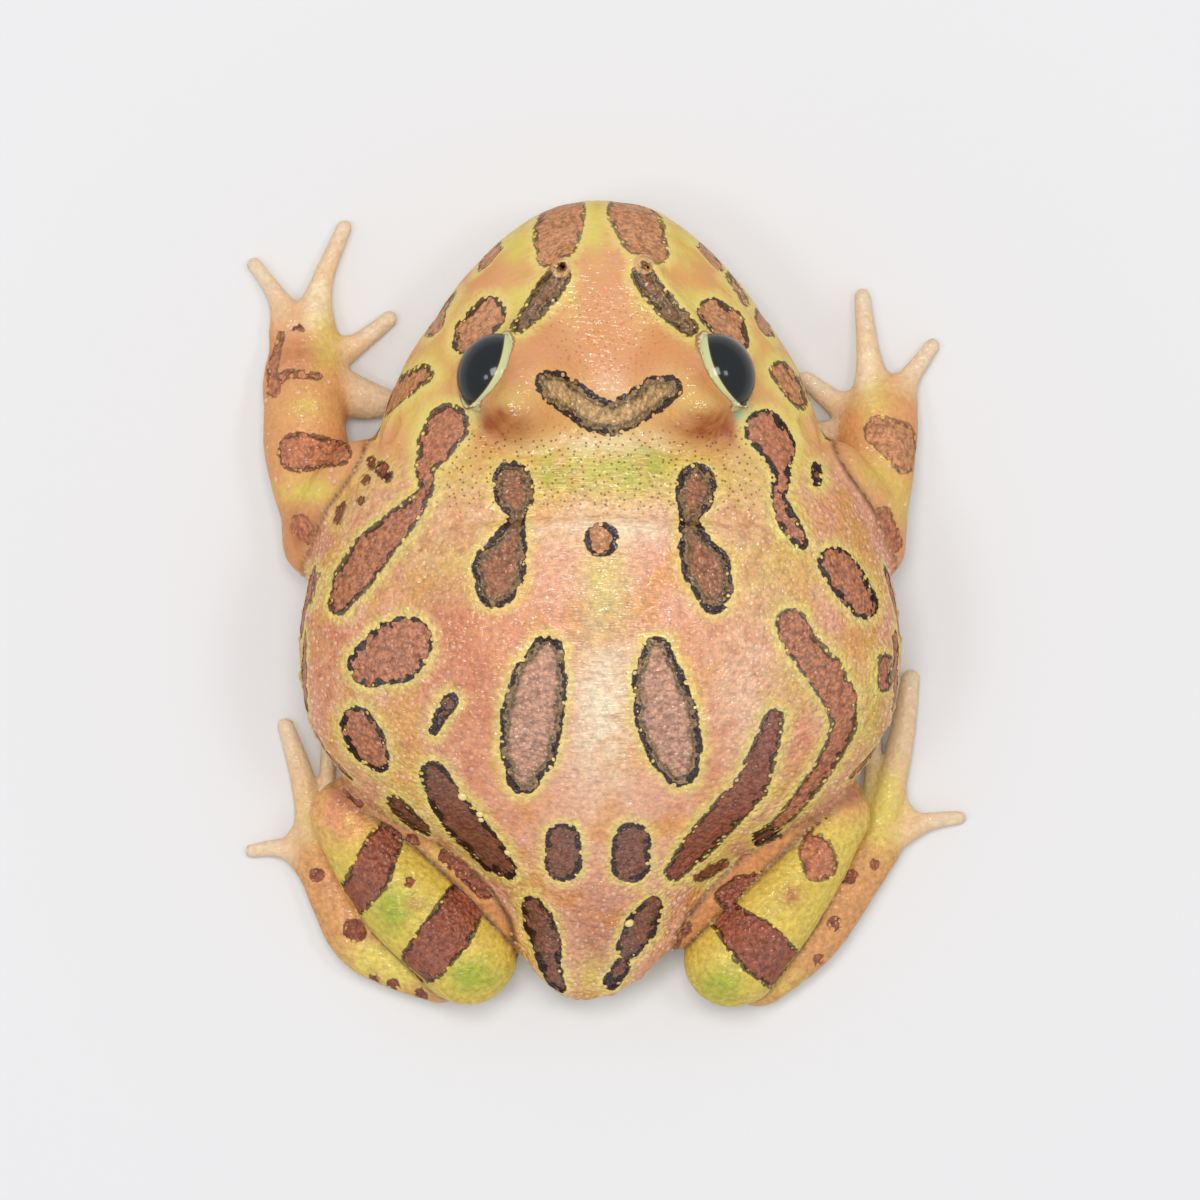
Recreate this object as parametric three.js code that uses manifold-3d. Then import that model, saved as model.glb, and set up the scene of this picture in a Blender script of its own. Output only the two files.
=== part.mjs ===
// A still, life-size Argentine horned frog (Ceratophrys ornata), sitting flat on the floor.
// Millimetres. It faces -Y, its own left side is +X, and the floor under it is Z = 0.
// Its skin is one surface in life. Here thin gaps part it into the pieces that a person would name.

import * as THREE from "three";
import { mergeVertices } from "three/addons/utils/BufferGeometryUtils.js";
import Module from "manifold-3d";

const wasm = await Module();
wasm.setup();

// Driving sizes
const GAP = 0.3; // left between neighbouring pieces
const LIP = 0.5; // how far the upper lip stands out over the lower jaw
const REACH = 80; // half the size of the blocks that part the body, past all of it

// Head and trunk, from snout to vent, as the lines of a hull: half breadth, then the heights of the
// back, of the widest level and of the underside.
const STATIONS = [
  { y: -50.0, half: 0.0, top: 13.2, mid: 13.2, low: 13.2 }, // front of the lip
  { y: -49.5, half: 4.4, top: 17.0, mid: 12.8, low: 9.2 },
  { y: -47.6, half: 8.8, top: 21.2, mid: 12.4, low: 6.0 },
  { y: -43.0, half: 14.6, top: 26.0, mid: 12.0, low: 2.8 }, // nostrils
  { y: -36.0, half: 20.2, top: 30.4, mid: 11.6, low: 0.8 },
  { y: -28.0, half: 25.2, top: 33.6, mid: 11.6, low: -0.4 }, // eyes
  { y: -19.0, half: 28.6, top: 37.0, mid: 12.4, low: -1.2 }, // corner of the mouth
  { y: -11.0, half: 33.2, top: 40.2, mid: 13.4, low: -1.8 }, // shoulders
  { y: -2.0, half: 36.4, top: 42.8, mid: 14.6, low: -1.8 },
  { y: 8.0, half: 37.3, top: 42.6, mid: 15.2, low: -1.8 }, // highest and broadest
  { y: 17.0, half: 35.3, top: 38.8, mid: 14.8, low: -1.8 },
  { y: 25.0, half: 28.6, top: 33.0, mid: 13.6, low: -1.2 },
  { y: 32.0, half: 16.8, top: 27.0, mid: 12.4, low: 0.2 }, // hips
  { y: 39.0, half: 10.8, top: 20.8, mid: 11.2, low: 2.4 },
  { y: 45.0, half: 8.2, top: 15.2, mid: 10.2, low: 4.8 },
  { y: 49.0, half: 3.8, top: 11.6, mid: 9.4, low: 7.2 },
  { y: 50.2, half: 0.0, top: 9.2, mid: 9.2, low: 9.2 }, // rear tip, over the vent
];
const BACK_ROUNDNESS = 2.15; // exponent of the upper half of a cross-section, 2 for an ellipse
const BELLY_ROUNDNESS = 2.6; // the belly sags to a broader, flatter shape
const REAR_DRIFT = 1.8; // how far the rear tip lies towards +X
const REAR_DRIFT_FROM = 34;

// Head
const HEAD_SHIFT = -0.75; // the crown of the head leans a little to the frog's right
const EYE = { x: 13.9, y: -28.1, z: 32.0, radius: 4.6, forward: 25, up: 16 }; // gaze in degrees
// The forms of the head rise from the plain hull. Their places in plan are those on the hull.
// The upper lid is a hood over the eye, which ends at a plane, edge mm out from the eye's centre.
const HOOD = { x: 9.8, y: -27.4, wide: 8.2, long: 9.6, height: 6.2, crown: 0.15, edge: 0.9 };
const LOWER_LID = { height: 0.8, from_eye: 5.6, spread: 1.1 };
const HORN = { x: 9.2, y: -23.2, height: 2.4, spread: 2.8, root: 3.3 }; // the upper lid's blunt point
const RIDGE = { front: [4.6, -42.0], rear: [11.4, -32.6], height: 1.1, spread: 1.7 }; // nostril to lid
const CROWN = { y: -35.0, sunk: 0.5, spread: 5.0 }; // the flat triangle between the ridges
const NOSTRIL = { x: 5.3, y: -41.8, height: 0.7, spread: 1.2, hole: 0.5, depth: 2.4 };
const EARDRUM = { y: -21.0, turn: 32, radius: 2.8, thick: 0.5 }; // turn in degrees over the widest level
const MOUTH = [ // the line of the mouth from the side: how far back, how high
  [-REACH, 12.0],
  [-47.0, 11.4],
  [-38.0, 10.4],
  [-28.0, 9.6],
  [-21.0, 8.6],
  [-17.6, 6.8], // the corner turns down
];
const NAPE = [-11.4, 40]; // where the head meets the back, above the corner of the mouth

// Limbs: named points along each, [x, y, z, radius]
const SIDES = {
  left: {
    shoulder: [29.6, -14.6, 13.6, 5.4],
    upper_arm: [33.6, -10.6, 11.0, 4.9],
    elbow: [35.0, -7.2, 7.6, 4.1],
    forearm: [36.9, -19.4, 6.4, 5.3],
    wrist: [37.5, -27.6, 4.2, 4.2],
    palm: [37.3, -32.6, 2.5, 4.1],
    fingers: [
      [[33.8, -26.8, 2.6, 3.0], [29.6, -25.2, 2.2, 2.5], [26.4, -24.8, 1.7, 1.6]],
      [[34.8, -30.0, 2.5, 2.5], [30.6, -32.2, 1.8, 1.4], [26.5, -35.4, 1.2, 1.05]],
      [[36.2, -34.6, 2.5, 2.5], [34.8, -40.6, 1.7, 1.35], [32.2, -46.9, 1.1, 1.0]],
      [[38.7, -34.2, 2.4, 2.3], [40.9, -38.6, 1.6, 1.2], [43.5, -42.2, 1.1, 0.95]],
    ],
    hip: [10.0, 38.8, 9.0, 4.8],
    thigh: [18.4, 31.2, 7.8, 6.0],
    knee: [30.6, 25.8, 8.4, 4.1],
    shin: [32.4, 27.0, 8.8, 4.0],
    calf: [25.0, 36.1, 9.4, 6.2],
    heel: [16.6, 44.6, 8.4, 6.2],
    ankle: [20.0, 46.6, 3.9, 4.1],
    tarsus: [29.0, 43.2, 3.7, 4.0],
    instep: [32.6, 38.0, 3.3, 3.6],
    ball: [35.0, 33.0, 2.3, 3.3],
    toes: [
      [[32.2, 32.8, 1.9, 1.6], [29.4, 29.0, 1.2, 1.1], [27.2, 25.6, 1.0, 0.9]],
      [[33.2, 31.4, 1.9, 1.6], [31.4, 26.4, 1.2, 1.1], [30.2, 21.8, 1.0, 0.9]],
      [[34.6, 30.8, 2.0, 1.6], [34.4, 24.6, 1.3, 1.15], [34.2, 17.6, 1.0, 0.95]],
      [[35.6, 30.8, 2.1, 2.1], [37.5, 22.2, 1.6, 1.55], [39.6, 15.8, 1.1, 1.05]],
      [[36.4, 32.6, 2.1, 1.9], [40.2, 31.2, 1.5, 1.2], [43.8, 31.6, 1.0, 0.9]],
    ],
  },
  right: {
    shoulder: [-28.6, -14.6, 13.6, 5.4],
    upper_arm: [-32.4, -10.4, 11.0, 4.9],
    elbow: [-33.6, -6.8, 7.6, 4.1],
    forearm: [-34.6, -16.0, 6.4, 4.8],
    wrist: [-35.2, -21.6, 4.2, 4.1],
    palm: [-35.5, -24.0, 2.5, 3.9],
    fingers: [
      [[-31.8, -20.8, 2.6, 2.7], [-28.4, -20.4, 2.2, 2.2], [-25.6, -20.8, 1.7, 1.6]],
      [[-32.8, -22.8, 2.5, 2.5], [-29.2, -25.2, 1.8, 1.5], [-25.9, -27.8, 1.2, 1.1]],
      [[-34.5, -25.2, 2.5, 2.5], [-33.7, -31.6, 1.7, 1.45], [-33.0, -38.2, 1.1, 1.05]],
      [[-36.9, -25.0, 2.4, 2.3], [-39.2, -28.4, 1.6, 1.3], [-41.8, -32.0, 1.1, 0.98]],
    ],
    hip: [-9.4, 39.0, 9.0, 4.8],
    thigh: [-17.8, 32.0, 7.8, 6.0],
    knee: [-28.8, 25.4, 8.2, 4.1],
    shin: [-29.8, 27.2, 8.4, 4.1],
    calf: [-23.6, 36.6, 9.2, 5.3],
    heel: [-16.6, 45.0, 8.4, 6.1],
    ankle: [-20.0, 47.0, 3.9, 4.1],
    tarsus: [-26.2, 42.2, 3.7, 4.0],
    instep: [-30.6, 36.6, 3.3, 3.6],
    ball: [-34.0, 31.8, 2.3, 3.4],
    toes: [
      [[-31.0, 31.6, 1.9, 1.6], [-28.4, 28.2, 1.2, 1.1], [-26.4, 24.8, 1.0, 0.9]],
      [[-32.0, 30.2, 1.9, 1.6], [-30.8, 25.2, 1.2, 1.1], [-30.0, 20.6, 1.0, 0.9]],
      [[-33.2, 29.6, 2.0, 1.6], [-34.2, 23.4, 1.3, 1.15], [-34.6, 16.4, 1.0, 0.95]],
      [[-35.0, 29.2, 2.2, 2.2], [-37.7, 18.6, 1.8, 1.7], [-39.1, 9.8, 1.3, 1.2]],
      [[-36.0, 30.2, 2.1, 2.0], [-41.0, 28.0, 1.5, 1.25], [-45.2, 27.4, 1.0, 0.9]],
    ],
  },
};
const PALM_FLATNESS = 0.62; // height over breadth
const FOOT_FLATNESS = 0.85;
const WEB = { thick: 0.8, level: 0.5, toes: 0.5, scallop: 0.62 }; // skin between the toes' roots

// Facets
const TRUNK_RINGS = 36;
const TRUNK_AROUND = 32;
const HEAD_END = 0.475; // share of the trunk's length that the head's finer skin covers
const HEAD_RINGS = 44;
const HEAD_AROUND = 46;
const HEAD_BELOW = 12; // facets round the underside, the rest go round the top
const LIMB = { rings: 12, around: 12, cap: 3 };
const DIGIT = { rings: 8, around: 8, cap: 2 };

const MATERIALS = {
  skin: new THREE.MeshStandardMaterial({ color: 0xd98a4e, roughness: 0.42, metalness: 0 }),
  limb_skin: new THREE.MeshStandardMaterial({ color: 0xcfa93f, roughness: 0.42, metalness: 0 }),
  digit_skin: new THREE.MeshStandardMaterial({ color: 0xeac49a, roughness: 0.45, metalness: 0 }),
  throat_skin: new THREE.MeshStandardMaterial({ color: 0xeee0c4, roughness: 0.5, metalness: 0 }),
  eye: new THREE.MeshStandardMaterial({ color: 0x14171a, roughness: 0.08, metalness: 0 }),
};

// The value at share t, 0 to 1, of a smooth line through evenly spaced knots.
function smooth(knots, t) {
  const last = knots.length - 1;
  const at = Math.min(Math.max(t, 0), 1) * last;
  const k = Math.min(Math.floor(at), last - 1);
  const u = at - k;
  const [a, b, c, d] = [k - 1, k, k + 1, k + 2].map((i) => knots[Math.min(Math.max(i, 0), last)]);
  return b + 0.5 * u * (c - a + u * (2 * a - 5 * b + 4 * c - d + u * (3 * (b - c) + d - a)));
}

// A closed skin of rings from pole to pole; place gives the point at share t along and angle turn round.
function loft(rings, around, place) {
  const ball = new THREE.SphereGeometry(1, around, rings);
  const points = ball.getAttribute("position");
  for (let i = 0; i < points.count; i++) {
    const row = Math.floor(i / (around + 1));
    const turn = ((i % (around + 1)) % around) * ((2 * Math.PI) / around);
    const at = place(row / rings, turn);
    points.setXYZ(i, at.x, at.y, at.z);
  }
  ball.deleteAttribute("normal");
  ball.deleteAttribute("uv");
  return mergeVertices(ball, 1e-4);
}

const signedPower = (value, exponent) => Math.sign(value) * Math.abs(value) ** exponent;

const LINES = ["y", "half", "top", "mid", "low"].map((name) => STATIONS.map((station) => station[name]));

// The point of the trunk's skin at share t of its length and angle turn round, 0 at the frog's left,
// with the middle of its section.
function trunkPoint(t, turn) {
  const [y, half, top, mid, low] = LINES.map((knots) => smooth(knots, t));
  const exponent = 2 / (Math.sin(turn) > 0 ? BACK_ROUNDNESS : BELLY_ROUNDNESS);
  const rise = Math.sin(turn) > 0 ? top - mid : mid - low;
  const drift = REAR_DRIFT * Math.max(0, (y - REAR_DRIFT_FROM) / (50 - REAR_DRIFT_FROM)) ** 2;
  const x = drift + Math.max(half, 0) * signedPower(Math.cos(turn), exponent);
  return {
    at: new THREE.Vector3(x, y, mid + rise * signedPower(Math.sin(turn), exponent)),
    middle: new THREE.Vector3(drift, y, mid),
  };
}

// The head and trunk as one plain skin.
function trunkGeometry() {
  return loft(TRUNK_RINGS, TRUNK_AROUND, (t, turn) => trunkPoint(t, turn).at);
}

const smoothstep = THREE.MathUtils.smoothstep;
const bell = (distance, spread) => Math.exp(-((distance / spread) ** 2));

// The trunk's point with the forms of the head on it, raised along the ray from the section's middle,
// with the upper lids' hoods or with the lower lids.
function headPoint(t, turn, hooded = true) {
  const { at, middle } = trunkPoint(t, turn);
  const ray = at.clone().sub(middle);
  let reach = ray.length();
  if (reach < 1e-6) return at;
  ray.normalize();
  if (at.z > middle.z) {
    for (const side of [1, -1]) {
      reach += rise(at, side, hooded);
    }
    reach -= CROWN.sunk * bell(Math.hypot(at.x - HEAD_SHIFT, at.y - CROWN.y), CROWN.spread);
  }
  return middle.addScaledVector(ray, reach);
}

// How far one side's ridge and nostril, and its hood with the horn or its lower lid, rise over the hull.
function rise(at, side, hooded) {
  const across = side * (at.x - HEAD_SHIFT);
  const plan = ({ x, y, wide = 1, long = 1 }) => Math.hypot((across - x) / wide, (at.y - y) / long);
  const form = RIDGE.height * bell(fromRidge(at, side), RIDGE.spread)
    + NOSTRIL.height * bell(plan(NOSTRIL), NOSTRIL.spread);
  if (hooded) {
    const hood = HOOD.height * (1 - smoothstep(plan(HOOD), HOOD.crown, 1));
    return form + hood + HORN.height * bell(plan(HORN), HORN.spread);
  }
  const fromEye = at.clone().sub(eyeCentre(side));
  const { height, from_eye: apart, spread } = LOWER_LID;
  const outside = smoothstep(fromEye.dot(gaze(side)), 0, apart / 2);
  return form + height * outside * bell(fromEye.length() - apart, spread);
}

// The distance in plan from the ridge between nostril and lid.
function fromRidge(at, side) {
  const inPlan = ([x, y]) => new THREE.Vector3(...mirrored([x, y, 0], side));
  const [front, rear] = [inPlan(RIDGE.front), inPlan(RIDGE.rear)];
  const plan = new THREE.Vector3(at.x, at.y, 0);
  return new THREE.Line3(front, rear).closestPointToPoint(plan, true, new THREE.Vector3()).distanceTo(plan);
}

// The head's finer skin, closed off flat a little behind the nape.
function headGeometry(hooded) {
  return loft(HEAD_RINGS, HEAD_AROUND, (t, turn) => {
    const row = Math.round(t * HEAD_RINGS);
    const along = (HEAD_END * Math.min(row, HEAD_RINGS - 1)) / (HEAD_RINGS - 1);
    if (row === HEAD_RINGS) return trunkPoint(along, 0).middle;
    const column = Math.round((turn / (2 * Math.PI)) * HEAD_AROUND);
    const above = HEAD_AROUND - HEAD_BELOW;
    const angle = column < above ? column / above : 1 + (column - above) / HEAD_BELOW;
    return headPoint(along, angle * Math.PI, hooded);
  });
}

// A round-ended limb through points [x, y, z, radius], its height flatness times its breadth.
function limbGeometry(points, { rings, around, cap }, flatness = 1) {
  const knots = [0, 1, 2, 3].map((i) => points.map((point) => point[i]));
  const centre = (u) => new THREE.Vector3(...[0, 1, 2].map((i) => smooth(knots[i], u)));
  return loft(rings, around, (t, turn) => {
    const row = Math.round(t * rings);
    const u = Math.min(Math.max((row - cap) / (rings - 2 * cap), 0), 1);
    const radius = smooth(knots[3], u);
    const dome = row < cap ? row / cap : row > rings - cap ? (rings - row) / cap : 1;
    const breadth = radius * Math.sin((dome * Math.PI) / 2);
    const beyond = radius * Math.cos((dome * Math.PI) / 2) * (row < cap ? -1 : 1);
    const along = centre(Math.min(u + 0.01, 1)).sub(centre(Math.max(u - 0.01, 0))).normalize();
    const side = along.clone().cross(new THREE.Vector3(0, 0, 1)).normalize();
    const up = side.clone().cross(along);
    return centre(u)
      .addScaledVector(along, beyond)
      .addScaledVector(side, breadth * Math.cos(turn))
      .addScaledVector(up, breadth * flatness * Math.sin(turn));
  });
}

// The same skin moved out along its normals.
function grown(geometry, by) {
  const copy = geometry.clone();
  copy.computeVertexNormals();
  const points = copy.getAttribute("position");
  const normals = copy.getAttribute("normal");
  const facesOut = toSolid(geometry, false).volume() > 0 ? 1 : -1;
  for (let i = 0; i < points.count; i++) {
    const step = by * facesOut;
    points.setXYZ(
      i,
      points.getX(i) + normals.getX(i) * step,
      points.getY(i) + normals.getY(i) * step,
      points.getZ(i) + normals.getZ(i) * step,
    );
  }
  copy.deleteAttribute("normal");
  return copy;
}

// A closed geometry as a solid, turned to face out if it doesn't.
function toSolid(geometry, turned = true) {
  const bare = geometry.clone();
  bare.deleteAttribute("normal");
  bare.deleteAttribute("uv");
  const merged = mergeVertices(bare, 1e-4);
  const triVerts = new Uint32Array(merged.index.array);
  const vertProperties = merged.getAttribute("position").array;
  const made = new wasm.Manifold(new wasm.Mesh({ numProp: 3, vertProperties, triVerts }));
  if (!turned || made.volume() > 0) return made;
  const flipped = triVerts.map((_, i) => triVerts[i % 3 === 0 ? i : i % 3 === 1 ? i + 1 : i - 1]);
  return new wasm.Manifold(new wasm.Mesh({ numProp: 3, vertProperties, triVerts: flipped }));
}

function toGeometry(solid) {
  const mesh = solid.getMesh();
  return new THREE.BufferGeometry()
    .setAttribute("position", new THREE.BufferAttribute(mesh.vertProperties, 3))
    .setIndex(new THREE.BufferAttribute(mesh.triVerts, 1));
}

// The biggest closed surface of a solid, its scraps and sealed hollows dropped.
function largest(solid) {
  return solid.decompose().sort((a, b) => b.volume() - a.volume())[0];
}

// A block that fills an outline drawn from the side, [y, z], and runs the whole breadth of the body.
function sideBlock(outline) {
  const shape = new THREE.Shape(outline.map(([y, z]) => new THREE.Vector2(y, z)));
  const block = new THREE.ExtrudeGeometry(shape, { depth: 2 * REACH, bevelEnabled: false });
  // The drawing's (y, z, depth) become the body's (Y, Z, X).
  const turned = new THREE.Matrix4().makeBasis(
    new THREE.Vector3(0, 1, 0),
    new THREE.Vector3(0, 0, 1),
    new THREE.Vector3(1, 0, 0),
  );
  return toSolid(block.applyMatrix4(turned).translate(-REACH, 0, 0));
}

function ellipsoid([x, y, z], [wide, long, high], detail = 18) {
  const ball = new THREE.SphereGeometry(1, detail, Math.round(detail * 0.7));
  return toSolid(ball.scale(wide, long, high).translate(x, y, z));
}

const mirrored = ([x, ...rest], side) => [HEAD_SHIFT + side * x, ...rest];

// The direction an eye looks in, out to its own side.
function gaze(side) {
  const forward = THREE.MathUtils.degToRad(EYE.forward);
  const up = THREE.MathUtils.degToRad(EYE.up);
  return new THREE.Vector3(
    side * Math.cos(forward) * Math.cos(up),
    -Math.sin(forward) * Math.cos(up),
    Math.sin(up),
  );
}

const eyeCentre = (side) => new THREE.Vector3(...mirrored([EYE.x, EYE.y, EYE.z], side));

function eyeball(side, radius = EYE.radius) {
  const centre = eyeCentre(side);
  return ellipsoid(centre.toArray(), [radius, radius, radius], 16);
}

// The number from low to high up to which isShort holds, found by halving.
function halving(low, high, isShort) {
  const middle = (low + high) / 2;
  if (high - low < 1e-4) return middle;
  return isShort(middle) ? halving(middle, high, isShort) : halving(low, middle, isShort);
}

// The share of the trunk's length at which it reaches y.
const shareAt = (y) => halving(0, HEAD_END, (t) => smooth(LINES[0], t) < y);

// A shallow disc that lies on the side of the head.
function eardrum(side) {
  const turn = THREE.MathUtils.degToRad(side > 0 ? EARDRUM.turn : 180 - EARDRUM.turn);
  const [t, step] = [shareAt(EARDRUM.y), 0.02];
  const at = headPoint(t, turn);
  const along = headPoint(t + step, turn).sub(headPoint(t - step, turn));
  const round = headPoint(t, turn + step).sub(headPoint(t, turn - step));
  const out = round.cross(along).normalize();
  const disc = new THREE.SphereGeometry(1, 16, 6);
  disc.scale(EARDRUM.radius, EARDRUM.thick, EARDRUM.radius);
  const tilt = new THREE.Quaternion().setFromUnitVectors(new THREE.Vector3(0, 1, 0), out);
  return toSolid(disc.applyQuaternion(tilt).translate(at.x, at.y, at.z));
}

// The point of the head's skin raised from a place in plan on the hull.
function overPlan([x, y], side) {
  const t = shareAt(y);
  const turn = (angle) => (side > 0 ? angle : Math.PI - angle);
  const isInside = (angle) => side * (trunkPoint(t, turn(angle)).at.x - HEAD_SHIFT) > x;
  return headPoint(t, turn(halving(0, Math.PI / 2, isInside)));
}

function nostrilHole(side) {
  const bore = new THREE.CylinderGeometry(NOSTRIL.hole, NOSTRIL.hole, NOSTRIL.depth, 8);
  bore.rotateX(Math.PI / 2);
  const at = overPlan([NOSTRIL.x, NOSTRIL.y], side);
  return toSolid(bore.translate(at.x, at.y, at.z));
}

// The space beyond the edge of an upper lid, through which the eye shows.
function beyondHood(side) {
  const [radius, length] = [10, 14];
  const drum = new THREE.CylinderGeometry(radius, radius, length, 24);
  const turn = new THREE.Quaternion().setFromUnitVectors(new THREE.Vector3(0, 1, 0), gaze(side));
  const at = eyeCentre(side).addScaledVector(gaze(side), HOOD.edge + length / 2);
  return toSolid(drum.applyQuaternion(turn).translate(at.x, at.y, at.z));
}

// The ball that parts the horn from the lid under it.
function hornRoot(side, radius) {
  return ellipsoid(overPlan([HORN.x, HORN.y], side).toArray(), [radius, radius, radius], 14);
}

// The web of the foot: a thin sheet over the floor from the ball of the foot to part way up each toe.
function web({ ball, toes }) {
  const along = (toe, share) => {
    const [x, y] = [0, 1].map((i) => smooth(toe.map((point) => point[i]), share));
    return new THREE.Vector2(x, y);
  };
  const heel = new THREE.Vector2(ball[0], ball[1] + 1);
  const shape = new THREE.Shape([heel]);
  toes.forEach((toe, i) => {
    const tip = along(toe, WEB.toes);
    if (i === 0) {
      shape.lineTo(tip.x, tip.y);
      return;
    }
    const before = along(toes[i - 1], WEB.toes);
    const hollow = before.clone().add(tip).multiplyScalar(0.5).lerp(heel, 1 - WEB.scallop);
    shape.quadraticCurveTo(hollow.x, hollow.y, tip.x, tip.y);
  });
  shape.closePath();
  const settings = { depth: WEB.thick, bevelEnabled: false, curveSegments: 4 };
  return toSolid(new THREE.ExtrudeGeometry(shape, settings).translate(0, 0, WEB.level));
}

const frog = new THREE.Group();

function addNode(name, solid, material) {
  const mesh = new THREE.Mesh(toGeometry(largest(solid)), material);
  mesh.name = name;
  frog.add(mesh);
}

// Blocks that part the trunk, each drawn from the side
const cornerY = MOUTH.at(-1)[0];
const [napeY, napeZ] = NAPE;
const nape = (gap) => [[napeY + gap, napeZ], [napeY + gap, REACH]];
const headBlock = sideBlock([...MOUTH, ...nape(0), [-REACH, REACH]]);
const jawBlock = sideBlock([
  [-REACH, -REACH],
  [cornerY - GAP * 0.2, -REACH],
  ...[...MOUTH].reverse().map(([y, z]) => [y, z - GAP]),
]);
const torsoBlock = sideBlock([
  [cornerY + GAP, -REACH],
  [cornerY + GAP, MOUTH.at(-1)[1]],
  ...nape(GAP),
  [REACH, REACH],
  [REACH, -REACH],
]);
const aboveFloor = sideBlock([[-REACH, 0], [REACH, 0], [REACH, REACH], [-REACH, REACH]]);

const trunk = trunkGeometry();
const trunkSolid = toSolid(trunk);
const trunkRoom = toSolid(grown(trunk, GAP)); // what keeps the limbs clear of the trunk

// Head, lower jaw and torso
const bareHead = headGeometry(false);
const headRoom = toSolid(grown(bareHead, GAP));
const hoodedHead = toSolid(headGeometry(true)).subtract(beyondHood(1)).subtract(beyondHood(-1));
let head = hoodedHead.add(toSolid(bareHead));
for (const side of [1, -1]) {
  head = head.add(eardrum(side)).subtract(eyeball(side, EYE.radius + GAP)).subtract(nostrilHole(side));
}
const horns = [1, -1].map((side) => head.intersect(hornRoot(side, HORN.root)));
for (const side of [1, -1]) head = head.subtract(hornRoot(side, HORN.root + GAP));
addNode("head", head.intersect(headBlock), MATERIALS.skin);
const jaw = toSolid(grown(trunk, -LIP)).intersect(jawBlock).intersect(aboveFloor);
addNode("lower_jaw", jaw, MATERIALS.throat_skin);
addNode("torso", trunkSolid.intersect(torsoBlock).intersect(aboveFloor), MATERIALS.skin);

for (const [name, side] of [["left", 1], ["right", -1]]) {
  addNode(`eye_${name}`, eyeball(side), MATERIALS.eye);
  addNode(`horn_${name}`, horns[side > 0 ? 0 : 1], MATERIALS.skin);
}

// A limb's piece, kept clear of the floor's far side, the trunk and the pieces that come before it.
function limbPiece(points, facets, flatness, before) {
  const geometry = limbGeometry(points, facets, flatness);
  let solid = toSolid(geometry).intersect(aboveFloor).subtract(trunkRoom).subtract(headRoom);
  for (const room of before) solid = solid.subtract(room);
  return { solid, room: toSolid(grown(geometry, GAP)) };
}

for (const [name, s] of Object.entries(SIDES)) {
  const upperArm = limbPiece([s.shoulder, s.upper_arm, s.elbow], LIMB, 1, []);
  const forearm = limbPiece([s.elbow, s.forearm, s.wrist], LIMB, 1, [upperArm.room]);
  const palm = limbPiece([s.wrist, s.palm], LIMB, PALM_FLATNESS, [forearm.room, upperArm.room]);
  addNode(`upper_arm_${name}`, upperArm.solid, MATERIALS.limb_skin);
  addNode(`forearm_${name}`, forearm.solid, MATERIALS.limb_skin);
  addNode(`palm_${name}`, palm.solid, MATERIALS.limb_skin);
  const arm = [palm.room, forearm.room, upperArm.room];
  s.fingers.forEach((points, i) => {
    const finger = limbPiece(points, DIGIT, 1, arm);
    arm.push(finger.room);
    addNode(`finger_${name}_${i + 1}`, finger.solid, MATERIALS.digit_skin);
  });

  const thigh = limbPiece([s.hip, s.thigh, s.knee], LIMB, 1, []);
  const shank = limbPiece([s.shin, s.calf, s.heel], LIMB, 1, [thigh.room]);
  const footLine = [s.ankle, s.tarsus, s.instep, s.ball];
  const sole = limbPiece(footLine, LIMB, FOOT_FLATNESS, [thigh.room, shank.room]);
  addNode(`thigh_${name}`, thigh.solid, MATERIALS.limb_skin);
  addNode(`shank_${name}`, shank.solid, MATERIALS.limb_skin);
  const leg = [sole.room, shank.room, thigh.room];
  let webbing = web(s).subtract(trunkRoom).subtract(shank.room).subtract(thigh.room);
  s.toes.forEach((points, i) => {
    const toe = limbPiece(points, DIGIT, 1, leg);
    leg.push(toe.room);
    webbing = webbing.subtract(toe.room);
    addNode(`toe_${name}_${i + 1}`, toe.solid, MATERIALS.digit_skin);
  });
  addNode(`foot_${name}`, sole.solid.add(webbing), MATERIALS.limb_skin);
}

// The origin is on the floor, under the middle of the whole frog as seen from above.
const box = new THREE.Box3().setFromObject(frog);
frog.position.set(-(box.min.x + box.max.x) / 2, -(box.min.y + box.max.y) / 2, -box.min.z);

export default frog;
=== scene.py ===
"""A still, life-size argentine horned frog, sitting flat and seen from straight above.

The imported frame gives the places. The skin is one surface over all the pieces of flesh: a field of
distances in millimetres in the frog's own frame (it faces -Y, its left is +X, the floor is Z = 0), meshed
once, then marked, folded and dressed. The eyes and the warts are pieces of their own.
"""

from __future__ import annotations

import logging
import math
from dataclasses import dataclass
from enum import Enum

import bpy
import numpy as np
import openvdb
from mathutils import Matrix, Vector, noise


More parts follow.
